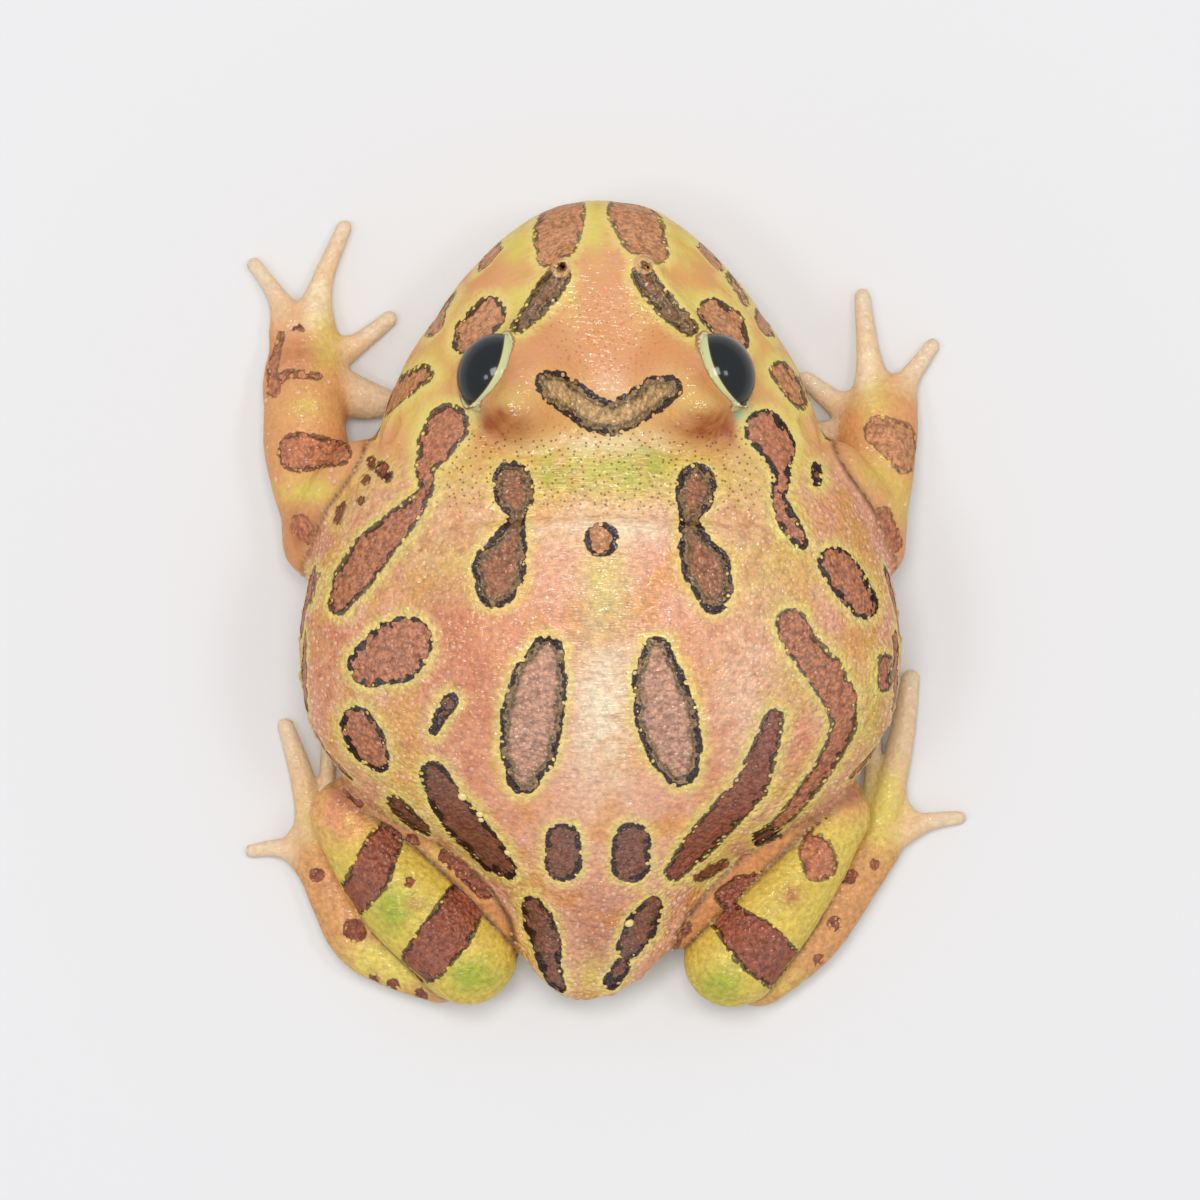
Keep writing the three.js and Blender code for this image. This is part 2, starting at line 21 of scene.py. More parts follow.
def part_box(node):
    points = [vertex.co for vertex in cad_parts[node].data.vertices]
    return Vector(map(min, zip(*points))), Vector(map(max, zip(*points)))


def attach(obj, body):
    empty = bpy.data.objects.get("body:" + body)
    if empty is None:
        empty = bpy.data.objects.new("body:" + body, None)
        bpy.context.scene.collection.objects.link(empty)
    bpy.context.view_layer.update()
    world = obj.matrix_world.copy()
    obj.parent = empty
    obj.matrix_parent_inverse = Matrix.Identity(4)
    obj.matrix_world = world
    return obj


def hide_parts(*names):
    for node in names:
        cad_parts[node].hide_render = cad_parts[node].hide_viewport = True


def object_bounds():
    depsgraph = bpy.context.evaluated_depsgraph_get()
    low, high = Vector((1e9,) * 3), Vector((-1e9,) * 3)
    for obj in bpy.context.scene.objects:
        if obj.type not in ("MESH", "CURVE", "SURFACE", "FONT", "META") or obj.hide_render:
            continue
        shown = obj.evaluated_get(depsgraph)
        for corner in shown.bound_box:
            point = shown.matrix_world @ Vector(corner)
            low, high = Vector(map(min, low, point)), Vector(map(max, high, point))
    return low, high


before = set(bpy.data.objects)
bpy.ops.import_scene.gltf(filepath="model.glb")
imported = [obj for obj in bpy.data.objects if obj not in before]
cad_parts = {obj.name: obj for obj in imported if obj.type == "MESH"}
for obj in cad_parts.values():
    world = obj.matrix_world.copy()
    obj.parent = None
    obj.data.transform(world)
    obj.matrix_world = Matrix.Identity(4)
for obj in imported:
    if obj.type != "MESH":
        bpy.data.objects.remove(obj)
CAD_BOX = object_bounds()

log = logging.getLogger("frog")

MM = 0.001  # metres in a millimetre
LEAN = -0.75  # how far the crown of the head lies towards +X, in mm

Socket = bpy.types.NodeSocket


def srgb(code: str) -> tuple[float, float, float, float]:
    """Turns an sRGB hex colour, such as "#A5603F", to linear red, green and blue, and a full alpha."""
    parts = [int(code[i : i + 2], 16) / 255 for i in (1, 3, 5)]
    return (*(p / 12.92 if p <= 0.04045 else ((p + 0.055) / 1.055) ** 2.4 for p in parts), 1.0)


def bell(distance: np.ndarray, spread: float | np.ndarray) -> np.ndarray:
    """A smooth hump, 1 at no distance and fading over spread."""
    return np.exp(-((distance / spread) ** 2))


def step(value: np.ndarray, low: float, high: float) -> np.ndarray:
    """A smooth rise from 0 at low to 1 at high."""
    share = np.clip((value - low) / (high - low), 0.0, 1.0)
    return share * share * (3 - 2 * share)


def join(a: np.ndarray, b: np.ndarray, blend: float | np.ndarray) -> np.ndarray:
    """The union of two distance fields, filled in over blend where they meet."""
    near = np.maximum(blend - np.abs(a - b), 0.0) / blend
    return np.minimum(a, b) - near * near * blend / 4


def trim(a: np.ndarray, b: np.ndarray, blend: float) -> np.ndarray:
    """The part common to two distance fields, rounded over blend at the edge."""
    return -join(-a, -b, blend)


def smooth(knots: np.ndarray, shares: np.ndarray) -> np.ndarray:
    """Values along a smooth line through evenly spaced knots.

    Args:
        knots: one row for each knot.
        shares: places along the line, from 0 to 1.

    Returns:
        One row for each share.
    """
    last = len(knots) - 1
    at = np.clip(shares, 0.0, 1.0) * last
    k = np.minimum(at.astype(int), last - 1)
    u = (at - k).reshape(-1, *[1] * (knots.ndim - 1))
    a, b, c, d = (knots[np.clip(k + i, 0, last)] for i in (-1, 0, 1, 2))
    return b + 0.5 * u * (c - a + u * (2 * a - 5 * b + 4 * c - d + u * (3 * (b - c) + d - a)))


def fractal(points: np.ndarray, size: float, gain: float, lacunarity: float, octaves: int) -> np.ndarray:
    """Noise at points, with waves of a size in mm and finer ones over them."""
    return np.array([noise.fractal(Vector(p) / size, gain, lacunarity, octaves) for p in points])


def link(name: str, data: bpy.types.ID) -> bpy.types.Object:
    """Puts a new object into the scene."""
    thing = bpy.data.objects.new(name, data)
    bpy.context.scene.collection.objects.link(thing)
    return thing


def make_piece(
    name: str, points: np.ndarray, faces: list, marks: dict[str, np.ndarray], material: bpy.types.Material
) -> bpy.types.Object:
    """Makes a smooth mesh with marks stored on its points.

    Args:
        name: the piece's name.
        points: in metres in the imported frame.
        faces: rows of the numbers of their points.
        marks: by name, one number or colour for each point.
        material: the piece's finish.

    Returns:
        The piece's object.
    """
    mesh = bpy.data.meshes.new(name)
    mesh.from_pydata(points.tolist(), [], faces)
    for mark, values in marks.items():
        kind, field = ("FLOAT_COLOR", "color") if values.ndim > 1 else ("FLOAT", "value")
        mesh.attributes.new(mark, kind, "POINT").data.foreach_set(field, values.astype(np.float32).ravel())
    mesh.shade_smooth()
    mesh.materials.append(material)
    return link(name, mesh)


class Part(Enum):
    """The parts of the body that markings and tints keep to."""

    TRUNK = 0
    ARM = 1
    THIGH = 2
    SHANK = 3
    FOOT = 4
    DIGIT = 5


class Tone(Enum):
    """Regional tints over the skin's ground colour, in the order they are laid, with their sRGB colours."""

    ROSE = "#DC9670"
    YELLOW = "#DECB66"
    CREAM = "#F2DFC4"
    GREEN = "#A6B03C"
    # A reddish brown, laid also as painted shade behind the upper lids.
    RUST = "#A85C38"
    TEAL = "#8FBFA8"


class Fill(Enum):
    """What a blotch is filled with, as the sRGB colour of its middle."""

    TAN = "#C98A5C"
    RUSSET = "#C07852"
    BRICK = "#95523A"
    UMBER = "#865038"
    OLIVE = "#C29A66"
    ROSY = "#C69276"
    COPPER = "#A26644"

    def embossed(self) -> bool:
        """Whether an olive fold runs inside the edge, as on the middle of the back."""
        return self in (Fill.OLIVE, Fill.ROSY, Fill.COPPER)


@dataclass(frozen=True)
class Chain:
    """A round-ended limb through points of x, y, z and radius.

    Attributes:
        points: the points, in mm.
        flatness: height over breadth.
        samples: how many balls stand for the smooth line.
    """

    points: tuple[tuple[float, float, float, float], ...]
    flatness: float = 1.0
    samples: int = 14

    def balls(self) -> np.ndarray:
        """The balls along the line, one row of x, y, z and radius for each."""
        return smooth(np.array(self.points, float), np.linspace(0, 1, self.samples))

    def corners(self, margin: float) -> tuple[np.ndarray, np.ndarray]:
        """The lowest and highest corner of the limb's box, grown by margin."""
        balls = self.balls()
        reach = balls[:, 3:] + margin
        return (balls[:, :3] - reach).min(0), (balls[:, :3] + reach).max(0)

    def distance(self, at: np.ndarray) -> np.ndarray:
        """The distance of points from the limb's skin, negative inside.

        Args:
            at: points, with x, y and z as the last axis.

        Returns:
            One distance for each point.
        """
        stretch = np.array([1, 1, 1 / self.flatness], np.float32)
        balls = self.balls().astype(np.float32)
        found = np.full(at.shape[:-1], 1e3, np.float32)
        for start, end in zip(balls[:-1], balls[1:]):
            along = end[:3] - start[:3]
            from_start = at - start[:3]
            share = np.clip(from_start @ along / max(along @ along, 1e-6), 0, 1)
            off = (from_start - share[..., None] * along) * stretch
            found = np.minimum(found, np.sqrt((off * off).sum(-1)) - start[3] - share * (end[3] - start[3]))
        return found


@dataclass(frozen=True)
class Hull:
    """Head and trunk as the lines of a hull, from snout to vent.

    Attributes:
        stations: y, half breadth, and the heights of the back, the widest level and the underside.
        back_roundness: the exponent of a section's upper half.
        belly_roundness: the exponent of its lower half.
        drift: how far the rear tip lies towards +X, growing from drift_from on.
    """

    stations: tuple[tuple[float, float, float, float, float], ...] = (
        (-50.0, 0.0, 13.2, 13.2, 13.2),  # front of the lip
        (-49.5, 4.4, 17.0, 12.8, 9.2),
        (-47.6, 8.8, 21.2, 12.4, 6.0),
        (-43.0, 14.6, 26.0, 12.0, 2.8),  # nostrils
        (-36.0, 20.2, 30.4, 11.6, 0.8),
        (-28.0, 25.2, 33.6, 11.6, -0.4),  # eyes
        (-19.0, 28.6, 37.0, 12.4, -1.2),  # corner of the mouth
        (-11.0, 33.2, 40.2, 13.4, -1.8),  # shoulders
        (-2.0, 36.4, 42.8, 14.6, -1.8),
        (8.0, 37.3, 42.6, 15.2, -1.8),  # highest and broadest
        (17.0, 35.3, 38.8, 14.8, -1.8),
        (25.0, 28.6, 33.0, 13.6, -1.2),
        (32.0, 16.8, 27.0, 12.4, 0.2),  # hips
        (39.0, 10.8, 20.8, 11.2, 2.4),
        (45.0, 8.2, 15.2, 10.2, 4.8),
        (49.0, 3.8, 11.6, 9.4, 7.2),
        (50.2, 0.0, 9.2, 9.2, 9.2),  # rear tip, over the vent
    )
    back_roundness: float = 2.15
    belly_roundness: float = 2.6
    drift: float = 1.8
    drift_from: float = 34.0

    def section(self, at: np.ndarray) -> tuple[np.ndarray, np.ndarray, np.ndarray, np.ndarray]:
        """Where points lie against the section of the hull at their y.

        Args:
            at: points, with x, y and z as the last axis.

        Returns:
            The distance from the section's middle, that of the hull along the same ray, and the x and z
            of the hull's point on the ray.
        """
        table = smooth(np.array(self.stations), np.linspace(0, 1, 2001))
        x, y, z = at[..., 0], at[..., 1], at[..., 2]
        knots, *columns = table.T
        half, top, mid, low = (np.interp(y, knots, column).astype(np.float32) for column in columns)
        shift = self.drift * np.maximum(0, (y - self.drift_from) / (50 - self.drift_from)) ** 2
        over, up = x - shift, z - mid
        upper = up > 0
        exponent = np.where(upper, self.back_roundness, self.belly_roundness)
        rise = np.maximum(np.where(upper, top - mid, mid - low), 0.05)
        wide = np.maximum(half, 0.05)
        share = (np.abs(over / wide) ** exponent + np.abs(up / rise) ** exponent) ** (1 / exponent)
        share = np.maximum(share, 1e-3)
        reach = np.hypot(over, up)
        return reach, reach / share, shift + over / share, mid + up / share

    def ends(self, at: np.ndarray) -> np.ndarray:
        """How far points lie past the hull's two ends."""
        y = at[..., 1]
        return np.maximum(np.maximum(self.stations[0][0] - y, y - self.stations[-1][0]), 0)


@dataclass(frozen=True)
class Eyeball:
    """One eye: its place and its gaze.

    Attributes:
        side: 1 for the frog's left, -1 for its right.
        place: the centre, mirrored about the crown of the head.
        radius: of the ball.
        forward: degrees that the gaze turns forward.
        up: degrees that it turns up.
        long: how much longer than high it is.
        lid_turn: degrees that the plane of the lids turns forward of the gaze.
        lid_bow: how far the upper lid's edge is set back at its middle.
    """

    side: int
    place: tuple[float, float, float] = (13.9, -28.1, 32.0)
    radius: float = 4.6
    forward: float = 25.0
    up: float = 16.0
    long: float = 1.12
    lid_turn: float = 6.0
    lid_bow: float = 0.8

    def centre(self) -> np.ndarray:
        """The ball's centre."""
        x, y, z = self.place
        return np.array([LEAN + self.side * x, y, z])

    def gaze(self, turn: float = 0.0) -> np.ndarray:
        """The direction that the eye looks in, turned forward by so many degrees."""
        forward, up = math.radians(self.forward + turn), math.radians(self.up)
        flat = math.cos(up)
        return np.array([self.side * math.cos(forward) * flat, -math.sin(forward) * flat, math.sin(up)])

    def past_lids(self, off: np.ndarray, edge: float) -> np.ndarray:
        """How far offsets from the centre lie past the bowed edge of the lids, whose ends are edge out."""
        gaze = self.gaze(self.lid_turn)
        level = np.cross(gaze, (0, 0, 1))
        along = off @ (level / np.linalg.norm(level)) / self.radius
        return off @ gaze - edge + self.lid_bow * np.clip(1 - along * along, 0, 1)

    def pressed(self, off: np.ndarray) -> np.ndarray:
        """Offsets from the centre with the ball's length pressed to its height, so that it is round."""
        axis = np.cross(self.pupil_axis(), (0, 0, 1))
        return off - (off @ axis)[..., None] * axis * (1 - 1 / self.long)

    def pupil_axis(self) -> np.ndarray:
        """The level direction that the pupil and the dark part of the eye look in."""
        turn = math.radians(self.forward + 1)
        return np.array([self.side * math.cos(turn), -math.sin(turn), 0.0])

    def name(self) -> str:
        """The name of the node that the eye stands for."""
        return "eye_left" if self.side > 0 else "eye_right"


EYES = (Eyeball(1), Eyeball(-1))


@dataclass(frozen=True)
class Head:
    """The forms of the head, raised from the hull. Places in plan are those on the plain hull."""

    bend: float = 0.004  # how the folds of the neck bow, in mm to the square mm
    neck_crease: tuple[float, float, float] = (-10.8, 0.7, 0.7)  # y, depth, spread
    neck_roll: tuple[float, float, float] = (-8.8, 0.5, 1.5)  # y, height, spread
    hood: tuple[float, float, float, float, float] = (9.8, -27.4, 8.2, 9.6, 6.2)  # x, y, wide, long, high
    hood_crown: float = 0.15
    hood_edge: float = 0.9  # out from the eye's centre
    lower_lid: tuple[float, float, float] = (0.8, 5.6, 1.1)  # height, distance from the eye, spread
    horn: tuple[float, float, float, float] = (9.2, -23.2, 2.4, 2.8)  # x, y, height, spread
    ridge: tuple[float, float, float, float, float, float] = (4.4, -42.6, 11.4, -32.6, 1.5, 1.25)
    crown: tuple[float, float, float] = (-35.0, 0.5, 5.0)  # y, how deep, spread
    nostril: tuple[float, float, float, float] = (5.3, -41.6, 0.5, 1.3)  # x, y, height, spread
    nostril_ring: tuple[float, float, float] = (0.85, 0.4, 0.38)  # radius, height, spread
    nostril_hole: float = 0.42
    lid_rim: float = 0.42  # radius of the soft edge of both lids
    lip: float = 0.5  # how far the upper lip stands out over the lower jaw
    groove: float = 0.75
    # The line of the mouth, as y and z, back to its corner.
    mouth: tuple[tuple[float, float], ...] = (
        (-60.0, 12.0), (-47.0, 11.4), (-38.0, 10.4), (-28.0, 9.6), (-21.0, 8.6), (-17.6, 6.8),
    )
    eardrum: tuple[float, float, float] = (25.0, -21.0, 21.6)
    eardrum_radius: float = 2.6

    def forms(self, x: np.ndarray, y: np.ndarray, side: int) -> np.ndarray:
        """The rise of one side's ridge and nostril over the hull."""
        across = side * (x - LEAN)
        fx, fy, rx, ry, height, spread = self.ridge
        along = np.array([rx - fx, ry - fy])
        share = np.clip(((across - fx) * along[0] + (y - fy) * along[1]) / (along @ along), 0, 1)
        off = np.hypot(across - fx - share * along[0], y - fy - share * along[1])
        nx, ny, raised, round_it = self.nostril
        return height * bell(off, spread) + raised * bell(np.hypot(across - nx, y - ny), round_it)

    def hoods(self, x: np.ndarray, y: np.ndarray, side: int) -> np.ndarray:
        """The rise of one side's upper lid and its blunt horn over the hull."""
        across = side * (x - LEAN)
        hx, hy, wide, long, high = self.hood
        hood = high * (1 - step(np.hypot((across - hx) / wide, (y - hy) / long), self.hood_crown, 1))
        tx, ty, height, spread = self.horn
        return hood + height * bell(np.hypot(across - tx, y - ty), spread)

    def lower_lids(self, hull: np.ndarray, eye: Eyeball) -> np.ndarray:
        """The rise of one lower lid over the hull, at points on the hull."""
        height, apart, spread = self.lower_lid
        off = hull - eye.centre()
        outside = step(off @ eye.gaze(), 0, apart / 2)
        return height * outside * bell(np.sqrt((off * off).sum(-1)) - apart, spread)

    def mouth_height(self, y: np.ndarray) -> np.ndarray:
        """The height of the line of the mouth at y."""
        line = np.array(self.mouth)
        return np.interp(y, line[:, 0], line[:, 1])


LEFT_ARM = {
    "upper_arm": ((29.6, -14.6, 13.6, 5.4), (33.6, -10.6, 11.0, 4.9), (35.0, -7.2, 7.6, 4.1)),
    "forearm": ((35.0, -7.2, 7.6, 4.1), (36.9, -19.4, 6.4, 5.3), (37.5, -27.6, 4.2, 4.2)),
    "palm": ((37.5, -27.6, 4.2, 4.2), (37.3, -32.6, 2.5, 4.1)),
    "finger_1": ((33.8, -26.8, 2.6, 3.0), (29.6, -25.2, 2.2, 2.5), (26.4, -24.8, 1.7, 1.6)),
    "finger_2": ((34.8, -30.0, 2.5, 2.5), (30.6, -32.2, 1.8, 1.4), (26.5, -35.4, 1.2, 1.05)),
    "finger_3": ((36.2, -34.6, 2.5, 2.5), (34.8, -40.6, 1.7, 1.35), (32.2, -46.9, 1.1, 1.0)),
    "finger_4": ((38.7, -34.2, 2.4, 2.3), (40.9, -38.6, 1.6, 1.2), (43.5, -42.2, 1.1, 0.95)),
}
RIGHT_ARM = {
    "upper_arm": ((-28.6, -14.6, 13.6, 5.4), (-32.4, -10.4, 11.0, 4.9), (-33.6, -6.8, 7.6, 4.1)),
    "forearm": ((-33.6, -6.8, 7.6, 4.1), (-34.6, -16.0, 6.4, 4.8), (-35.2, -21.6, 4.2, 4.1)),
    "palm": ((-35.2, -21.6, 4.2, 4.1), (-35.5, -24.0, 2.5, 3.9)),
    "finger_1": ((-31.8, -20.8, 2.6, 2.7), (-28.4, -20.4, 2.2, 2.2), (-25.6, -20.8, 1.7, 1.6)),
    "finger_2": ((-32.8, -22.8, 2.5, 2.5), (-29.2, -25.2, 1.8, 1.5), (-25.9, -27.8, 1.2, 1.1)),
    "finger_3": ((-34.5, -25.2, 2.5, 2.5), (-33.7, -31.6, 1.7, 1.45), (-33.0, -38.2, 1.1, 1.05)),
    "finger_4": ((-36.9, -25.0, 2.4, 2.3), (-39.2, -28.4, 1.6, 1.3), (-41.8, -32.0, 1.1, 0.98)),
}
LEFT_LEG = {
    "thigh": ((10.0, 38.8, 9.0, 4.8), (18.4, 31.2, 7.8, 6.0), (30.6, 25.8, 8.4, 4.1)),
    "shank": ((32.4, 27.0, 8.8, 4.0), (25.0, 36.1, 9.4, 6.2), (16.6, 44.6, 8.4, 6.2)),
    "foot": ((20.0, 46.6, 3.9, 4.1), (29.0, 43.2, 3.7, 4.0), (32.6, 38.0, 3.3, 3.6), (35.0, 33.0, 2.3, 3.3)),
    "toe_1": ((32.2, 32.8, 1.9, 1.6), (29.4, 29.0, 1.2, 1.1), (27.2, 25.6, 1.0, 0.9)),
    "toe_2": ((33.2, 31.4, 1.9, 1.6), (31.4, 26.4, 1.2, 1.1), (30.2, 21.8, 1.0, 0.9)),
    "toe_3": ((34.6, 30.8, 2.0, 1.6), (34.4, 24.6, 1.3, 1.15), (34.2, 17.6, 1.0, 0.95)),
    "toe_4": ((35.6, 30.8, 2.1, 2.1), (37.5, 22.2, 1.6, 1.55), (39.6, 15.8, 1.1, 1.05)),
    "toe_5": ((36.4, 32.6, 2.1, 1.9), (40.2, 31.2, 1.5, 1.2), (43.8, 31.6, 1.0, 0.9)),
}
RIGHT_LEG = {
    "thigh": ((-9.4, 39.0, 9.0, 4.8), (-17.8, 32.0, 7.8, 6.0), (-28.8, 25.4, 8.2, 4.1)),
    "shank": ((-29.8, 27.2, 8.4, 4.1), (-23.6, 36.6, 9.2, 5.3), (-16.6, 45.0, 8.4, 6.1)),
    "foot": (
        (-20.0, 47.0, 3.9, 4.1),
        (-26.2, 42.2, 3.7, 4.0),
        (-30.6, 36.6, 3.3, 3.6),
        (-34.0, 31.8, 2.3, 3.4),
    ),
    "toe_1": ((-31.0, 31.6, 1.9, 1.6), (-28.4, 28.2, 1.2, 1.1), (-26.4, 24.8, 1.0, 0.9)),
    "toe_2": ((-32.0, 30.2, 1.9, 1.6), (-30.8, 25.2, 1.2, 1.1), (-30.0, 20.6, 1.0, 0.9)),
    "toe_3": ((-33.2, 29.6, 2.0, 1.6), (-34.2, 23.4, 1.3, 1.15), (-34.6, 16.4, 1.0, 0.95)),
    "toe_4": ((-35.0, 29.2, 2.2, 2.2), (-37.7, 18.6, 1.8, 1.7), (-39.1, 9.8, 1.3, 1.2)),
    "toe_5": ((-36.0, 30.2, 2.1, 2.0), (-41.0, 28.0, 1.5, 1.25), (-45.2, 27.4, 1.0, 0.9)),
}
PALM_FLATNESS = 0.62
FOOT_FLATNESS = 0.85


@dataclass(frozen=True)
class Limb:
    """An arm or a leg as chains, and how softly they run into one another.

    Attributes:
        parts: what the upper, lower and end pieces are.
        upper: the piece at the body.
        lower: forearm or shank.
        end: palm or foot, flattened.
        digits: fingers or toes.
        tight: the blend where the lower piece lies folded against the upper one or the body.
        joints: points where the folded pieces run into one another.
        knuckle: the blend of the digits' roots.
        web: share of the digits' length that the web reaches.
    """

    parts: tuple[Part, Part, Part]
    upper: Chain
    lower: Chain
    end: Chain
    digits: tuple[Chain, ...]
    tight: float
    joints: tuple[tuple[float, float, float], ...]
    knuckle: float
    web: float

    @staticmethod
    def arm(sizes: dict[str, tuple]) -> Limb:
        """An arm from its named points."""
        fingers = tuple(Chain(sizes[f"finger_{i}"]) for i in (1, 2, 3, 4))
        upper, lower = Chain(sizes["upper_arm"]), Chain(sizes["forearm"])
        palm = Chain(sizes["palm"], PALM_FLATNESS)
        elbow = sizes["forearm"][0][:3]
        return Limb((Part.ARM,) * 3, upper, lower, palm, fingers, 1.6, (elbow,), 2.2, 0.2)

    @staticmethod
    def leg(sizes: dict[str, tuple]) -> Limb:
        """A leg from its named points."""
        toes = tuple(Chain(sizes[f"toe_{i}"]) for i in (1, 2, 3, 4, 5))
        upper, lower, foot = Chain(sizes["thigh"]), Chain(sizes["shank"]), Chain(sizes["foot"], FOOT_FLATNESS)
        joints = (sizes["thigh"][-1][:3], sizes["foot"][0][:3])
        parts = (Part.THIGH, Part.SHANK, Part.FOOT)
        return Limb(parts, upper, lower, foot, toes, 0.25, joints, 1.6, 0.55)

    def web_strands(self) -> list[Chain]:
        """Thin strands from digit to digit that join into the web."""
        strands = []
        rows = [digit.balls() for digit in self.digits]
        root = self.end.balls()[-1][:2]
        for before, after in zip(rows[:-1], rows[1:]):
            for share in np.linspace(0.0, self.web, 7):
                a, b = (row[int(share * (len(row) - 1) + 0.5)] for row in (before, after))
                middle = (a + b) / 2
                middle[:2] += 0.5 * share * (root - middle[:2])
                line = [(p[0], p[1], max(p[2], 1.0), 0.45) for p in (a, middle, b)]
                strands.append(Chain(tuple(line), samples=5))
        return strands

    def joint_nearness(self, at: np.ndarray, spread: float) -> np.ndarray:
        """How near points lie to the limb's folded joints, 1 at one."""
        return sum(bell(np.sqrt(((at - np.array(joint)) ** 2).sum(-1)), spread) for joint in self.joints)


LIMBS = (Limb.arm(LEFT_ARM), Limb.arm(RIGHT_ARM), Limb.leg(LEFT_LEG), Limb.leg(RIGHT_LEG))


class SkinField:
    """The frog's form as distances to its skin on a grid."""

    hull = Hull()
    head = Head()
    low = np.array([-47.5, -52.5, -1.5])
    high = np.array([47.5, 52.5, 45.0])
    body_blend = 2.2

    def __init__(self, pitch: float) -> None:
        """Prepares the grid.

        Args:
            pitch: the distance between its points, in mm.
        """
        self.pitch = pitch
        self.axes = [np.arange(a, b, pitch, dtype=np.float32) for a, b in zip(self.low, self.high)]

    def block(self, low: np.ndarray, high: np.ndarray) -> tuple[tuple[slice, ...], np.ndarray]:
        """The part of the grid between two corners: its slices and its points."""
        cuts = tuple(slice(*np.searchsorted(a, (p, q))) for a, p, q in zip(self.axes, low, high))
        return cuts, np.stack(np.meshgrid(*[a[c] for a, c in zip(self.axes, cuts)], indexing="ij"), -1)

    def trunk(self, at: np.ndarray) -> np.ndarray:
        """Distances from head and trunk, with the head's forms, before they are evened out."""
        head = self.head
        reach, hull, x, z = self.hull.section(at)
        on_hull = np.stack([x, at[..., 1], z], -1)
        y = at[..., 1]
        above = step(at[..., 2], 13, 17)
        forms = -head.crown[1] * bell(np.hypot(x - LEAN, y - head.crown[0]), head.crown[2])
        forms = forms + sum(head.forms(x, y, side) for side in (1, -1))
        bare, hooded = forms, forms
        for eye in EYES:
            bare = bare + head.lower_lids(on_hull, eye)
            hooded = hooded + head.hoods(x, y, eye.side)
        bare = reach - hull - bare * above
        hooded = reach - hull - hooded * above
        for eye in EYES:
            past_edge = eye.past_lids(at - eye.centre(), head.hood_edge)
            near = step(np.abs(x - eye.centre()[0]), 16, 11)
            hooded = np.where(near > 0, trim(hooded, past_edge * near + hooded * (1 - near), 1.2), hooded)
        found = join(bare, hooded, 0.8)
        gap = self.hull.ends(at)
        return np.where(gap > 0, np.hypot(np.maximum(found, 0), gap), found)

    def even_out(self, field: np.ndarray) -> np.ndarray:
        """Divides a field by its slope, which makes it a true distance near the skin."""
        slope = np.sqrt(sum(g * g for g in np.gradient(field, self.pitch)))
        return field / np.clip(slope, 0.6, 8.0)

    def mouth(self, field: np.ndarray, at: np.ndarray) -> np.ndarray:
        """Sets the lower jaw back under the lip and cuts the line of the mouth."""
        head = self.head
        corner = head.mouth[-1][0]
        y, up = at[..., 1], at[..., 2] - head.mouth_height(at[..., 1])
        ahead = step(-y, -corner - 2.5, -corner + 1.5)
        return field + ahead * (head.lip * step(-up, -0.4, 0.8) + head.groove * bell(up + 0.2, 0.5))

    def folds(self, field: np.ndarray, at: np.ndarray) -> np.ndarray:
        """Presses the crease of the neck and the eardrum's ring into the skin."""
        head = self.head
        x, y, z = at[..., 0], at[..., 1], at[..., 2]
        high = step(-np.abs(x), -24, -14) * step(z, 24, 30)
        crease, roll = (
            height * bell(y - middle - head.bend * x * x, spread)
            for middle, height, spread in (head.neck_crease, head.neck_roll)
        )
        field = field + high * (crease - roll)
        for side in (1, -1):
            across = side * (x - LEAN)
            hx, hy, wide, long, _ = head.hood
            ring = np.hypot((across - hx) / wide, (y - hy) / long)
            field = field + 0.6 * bell(ring - 0.98, 0.07) * step(y, -25, -21) * step(z, 28, 33)
            nostril = np.hypot(across - head.nostril[0], y - head.nostril[1]) + 9 * step(-z, -20, -18)
            radius, height, spread = head.nostril_ring
            field = field - height * bell(nostril - radius, spread)
        for side in (1, -1):
            ear = np.array(head.eardrum) * [side, 1, 1]
            off = np.sqrt(((at - ear) ** 2).sum(-1))
            radius = head.eardrum_radius
            field = field - 0.4 * bell(off - radius, 0.55) + 0.35 * (1 - step(off, radius * 0.5, radius))
        return field

    def nostrils(self, field: np.ndarray, at: np.ndarray) -> np.ndarray:
        """Opens the nostrils."""
        head = self.head
        for side in (1, -1):
            x, y = LEAN + side * head.nostril[0], head.nostril[1]
            ends = ((x + side * 0.3, y - 0.2, 29.0), (x - side * 0.8, y + 0.6, 24.0))
            bore = Chain(tuple((*end, head.nostril_hole) for end in ends))
            field = trim(field, -bore.distance(at), 0.3)
        return field

    def add_limb(self, field: np.ndarray, limb: Limb) -> None:
        """Joins a limb to the body's field, in place."""
        pieces = [limb.upper, limb.lower, limb.end, *limb.digits]
        lows, highs = zip(*(piece.corners(4.0) for piece in pieces))
        cuts, at = self.block(np.min(lows, 0), np.max(highs, 0))
        folded = (limb.tight + 3.4 * np.minimum(limb.joint_nearness(at, 4.4), 1)).astype(np.float32)
        found = join(limb.upper.distance(at), limb.lower.distance(at), folded)
        hand = limb.end.distance(at)
        fingers = np.full(hand.shape, 1e3, np.float32)
        for digit in limb.digits:
            fingers = join(fingers, digit.distance(at), 0.35)
        for strand in limb.web_strands():
            fingers = join(fingers, strand.distance(at), 0.6)
        hand = join(hand, fingers, limb.knuckle)
        if limb.parts[0] is Part.ARM:
            field[cuts] = join(field[cuts], join(found, hand, 2.6), self.body_blend)
            return
        found = join(found, hand, folded)
        field[cuts] = join(field[cuts], found, 0.3 + 1.4 * bell(limb.upper.distance(at), 2.0))

    def build(self) -> np.ndarray:
        """The whole field.

        Returns:
            Distances at the grid's points, negative inside.
        """
        _, at = self.block(self.low, self.high + 1)
        field = self.even_out(self.trunk(at).astype(np.float32))
        ahead = at[:, : np.searchsorted(self.axes[1], -5.0)]
        part = field[:, : ahead.shape[1]]
        field[:, : ahead.shape[1]] = self.nostrils(self.folds(self.mouth(part, ahead), ahead), ahead)
        for limb in LIMBS:
            self.add_limb(field, limb)
        for eye in EYES:
            self.add_eye(field, eye)
        return trim(field, 0.03 - at[..., 2], 0.7).astype(np.float32)

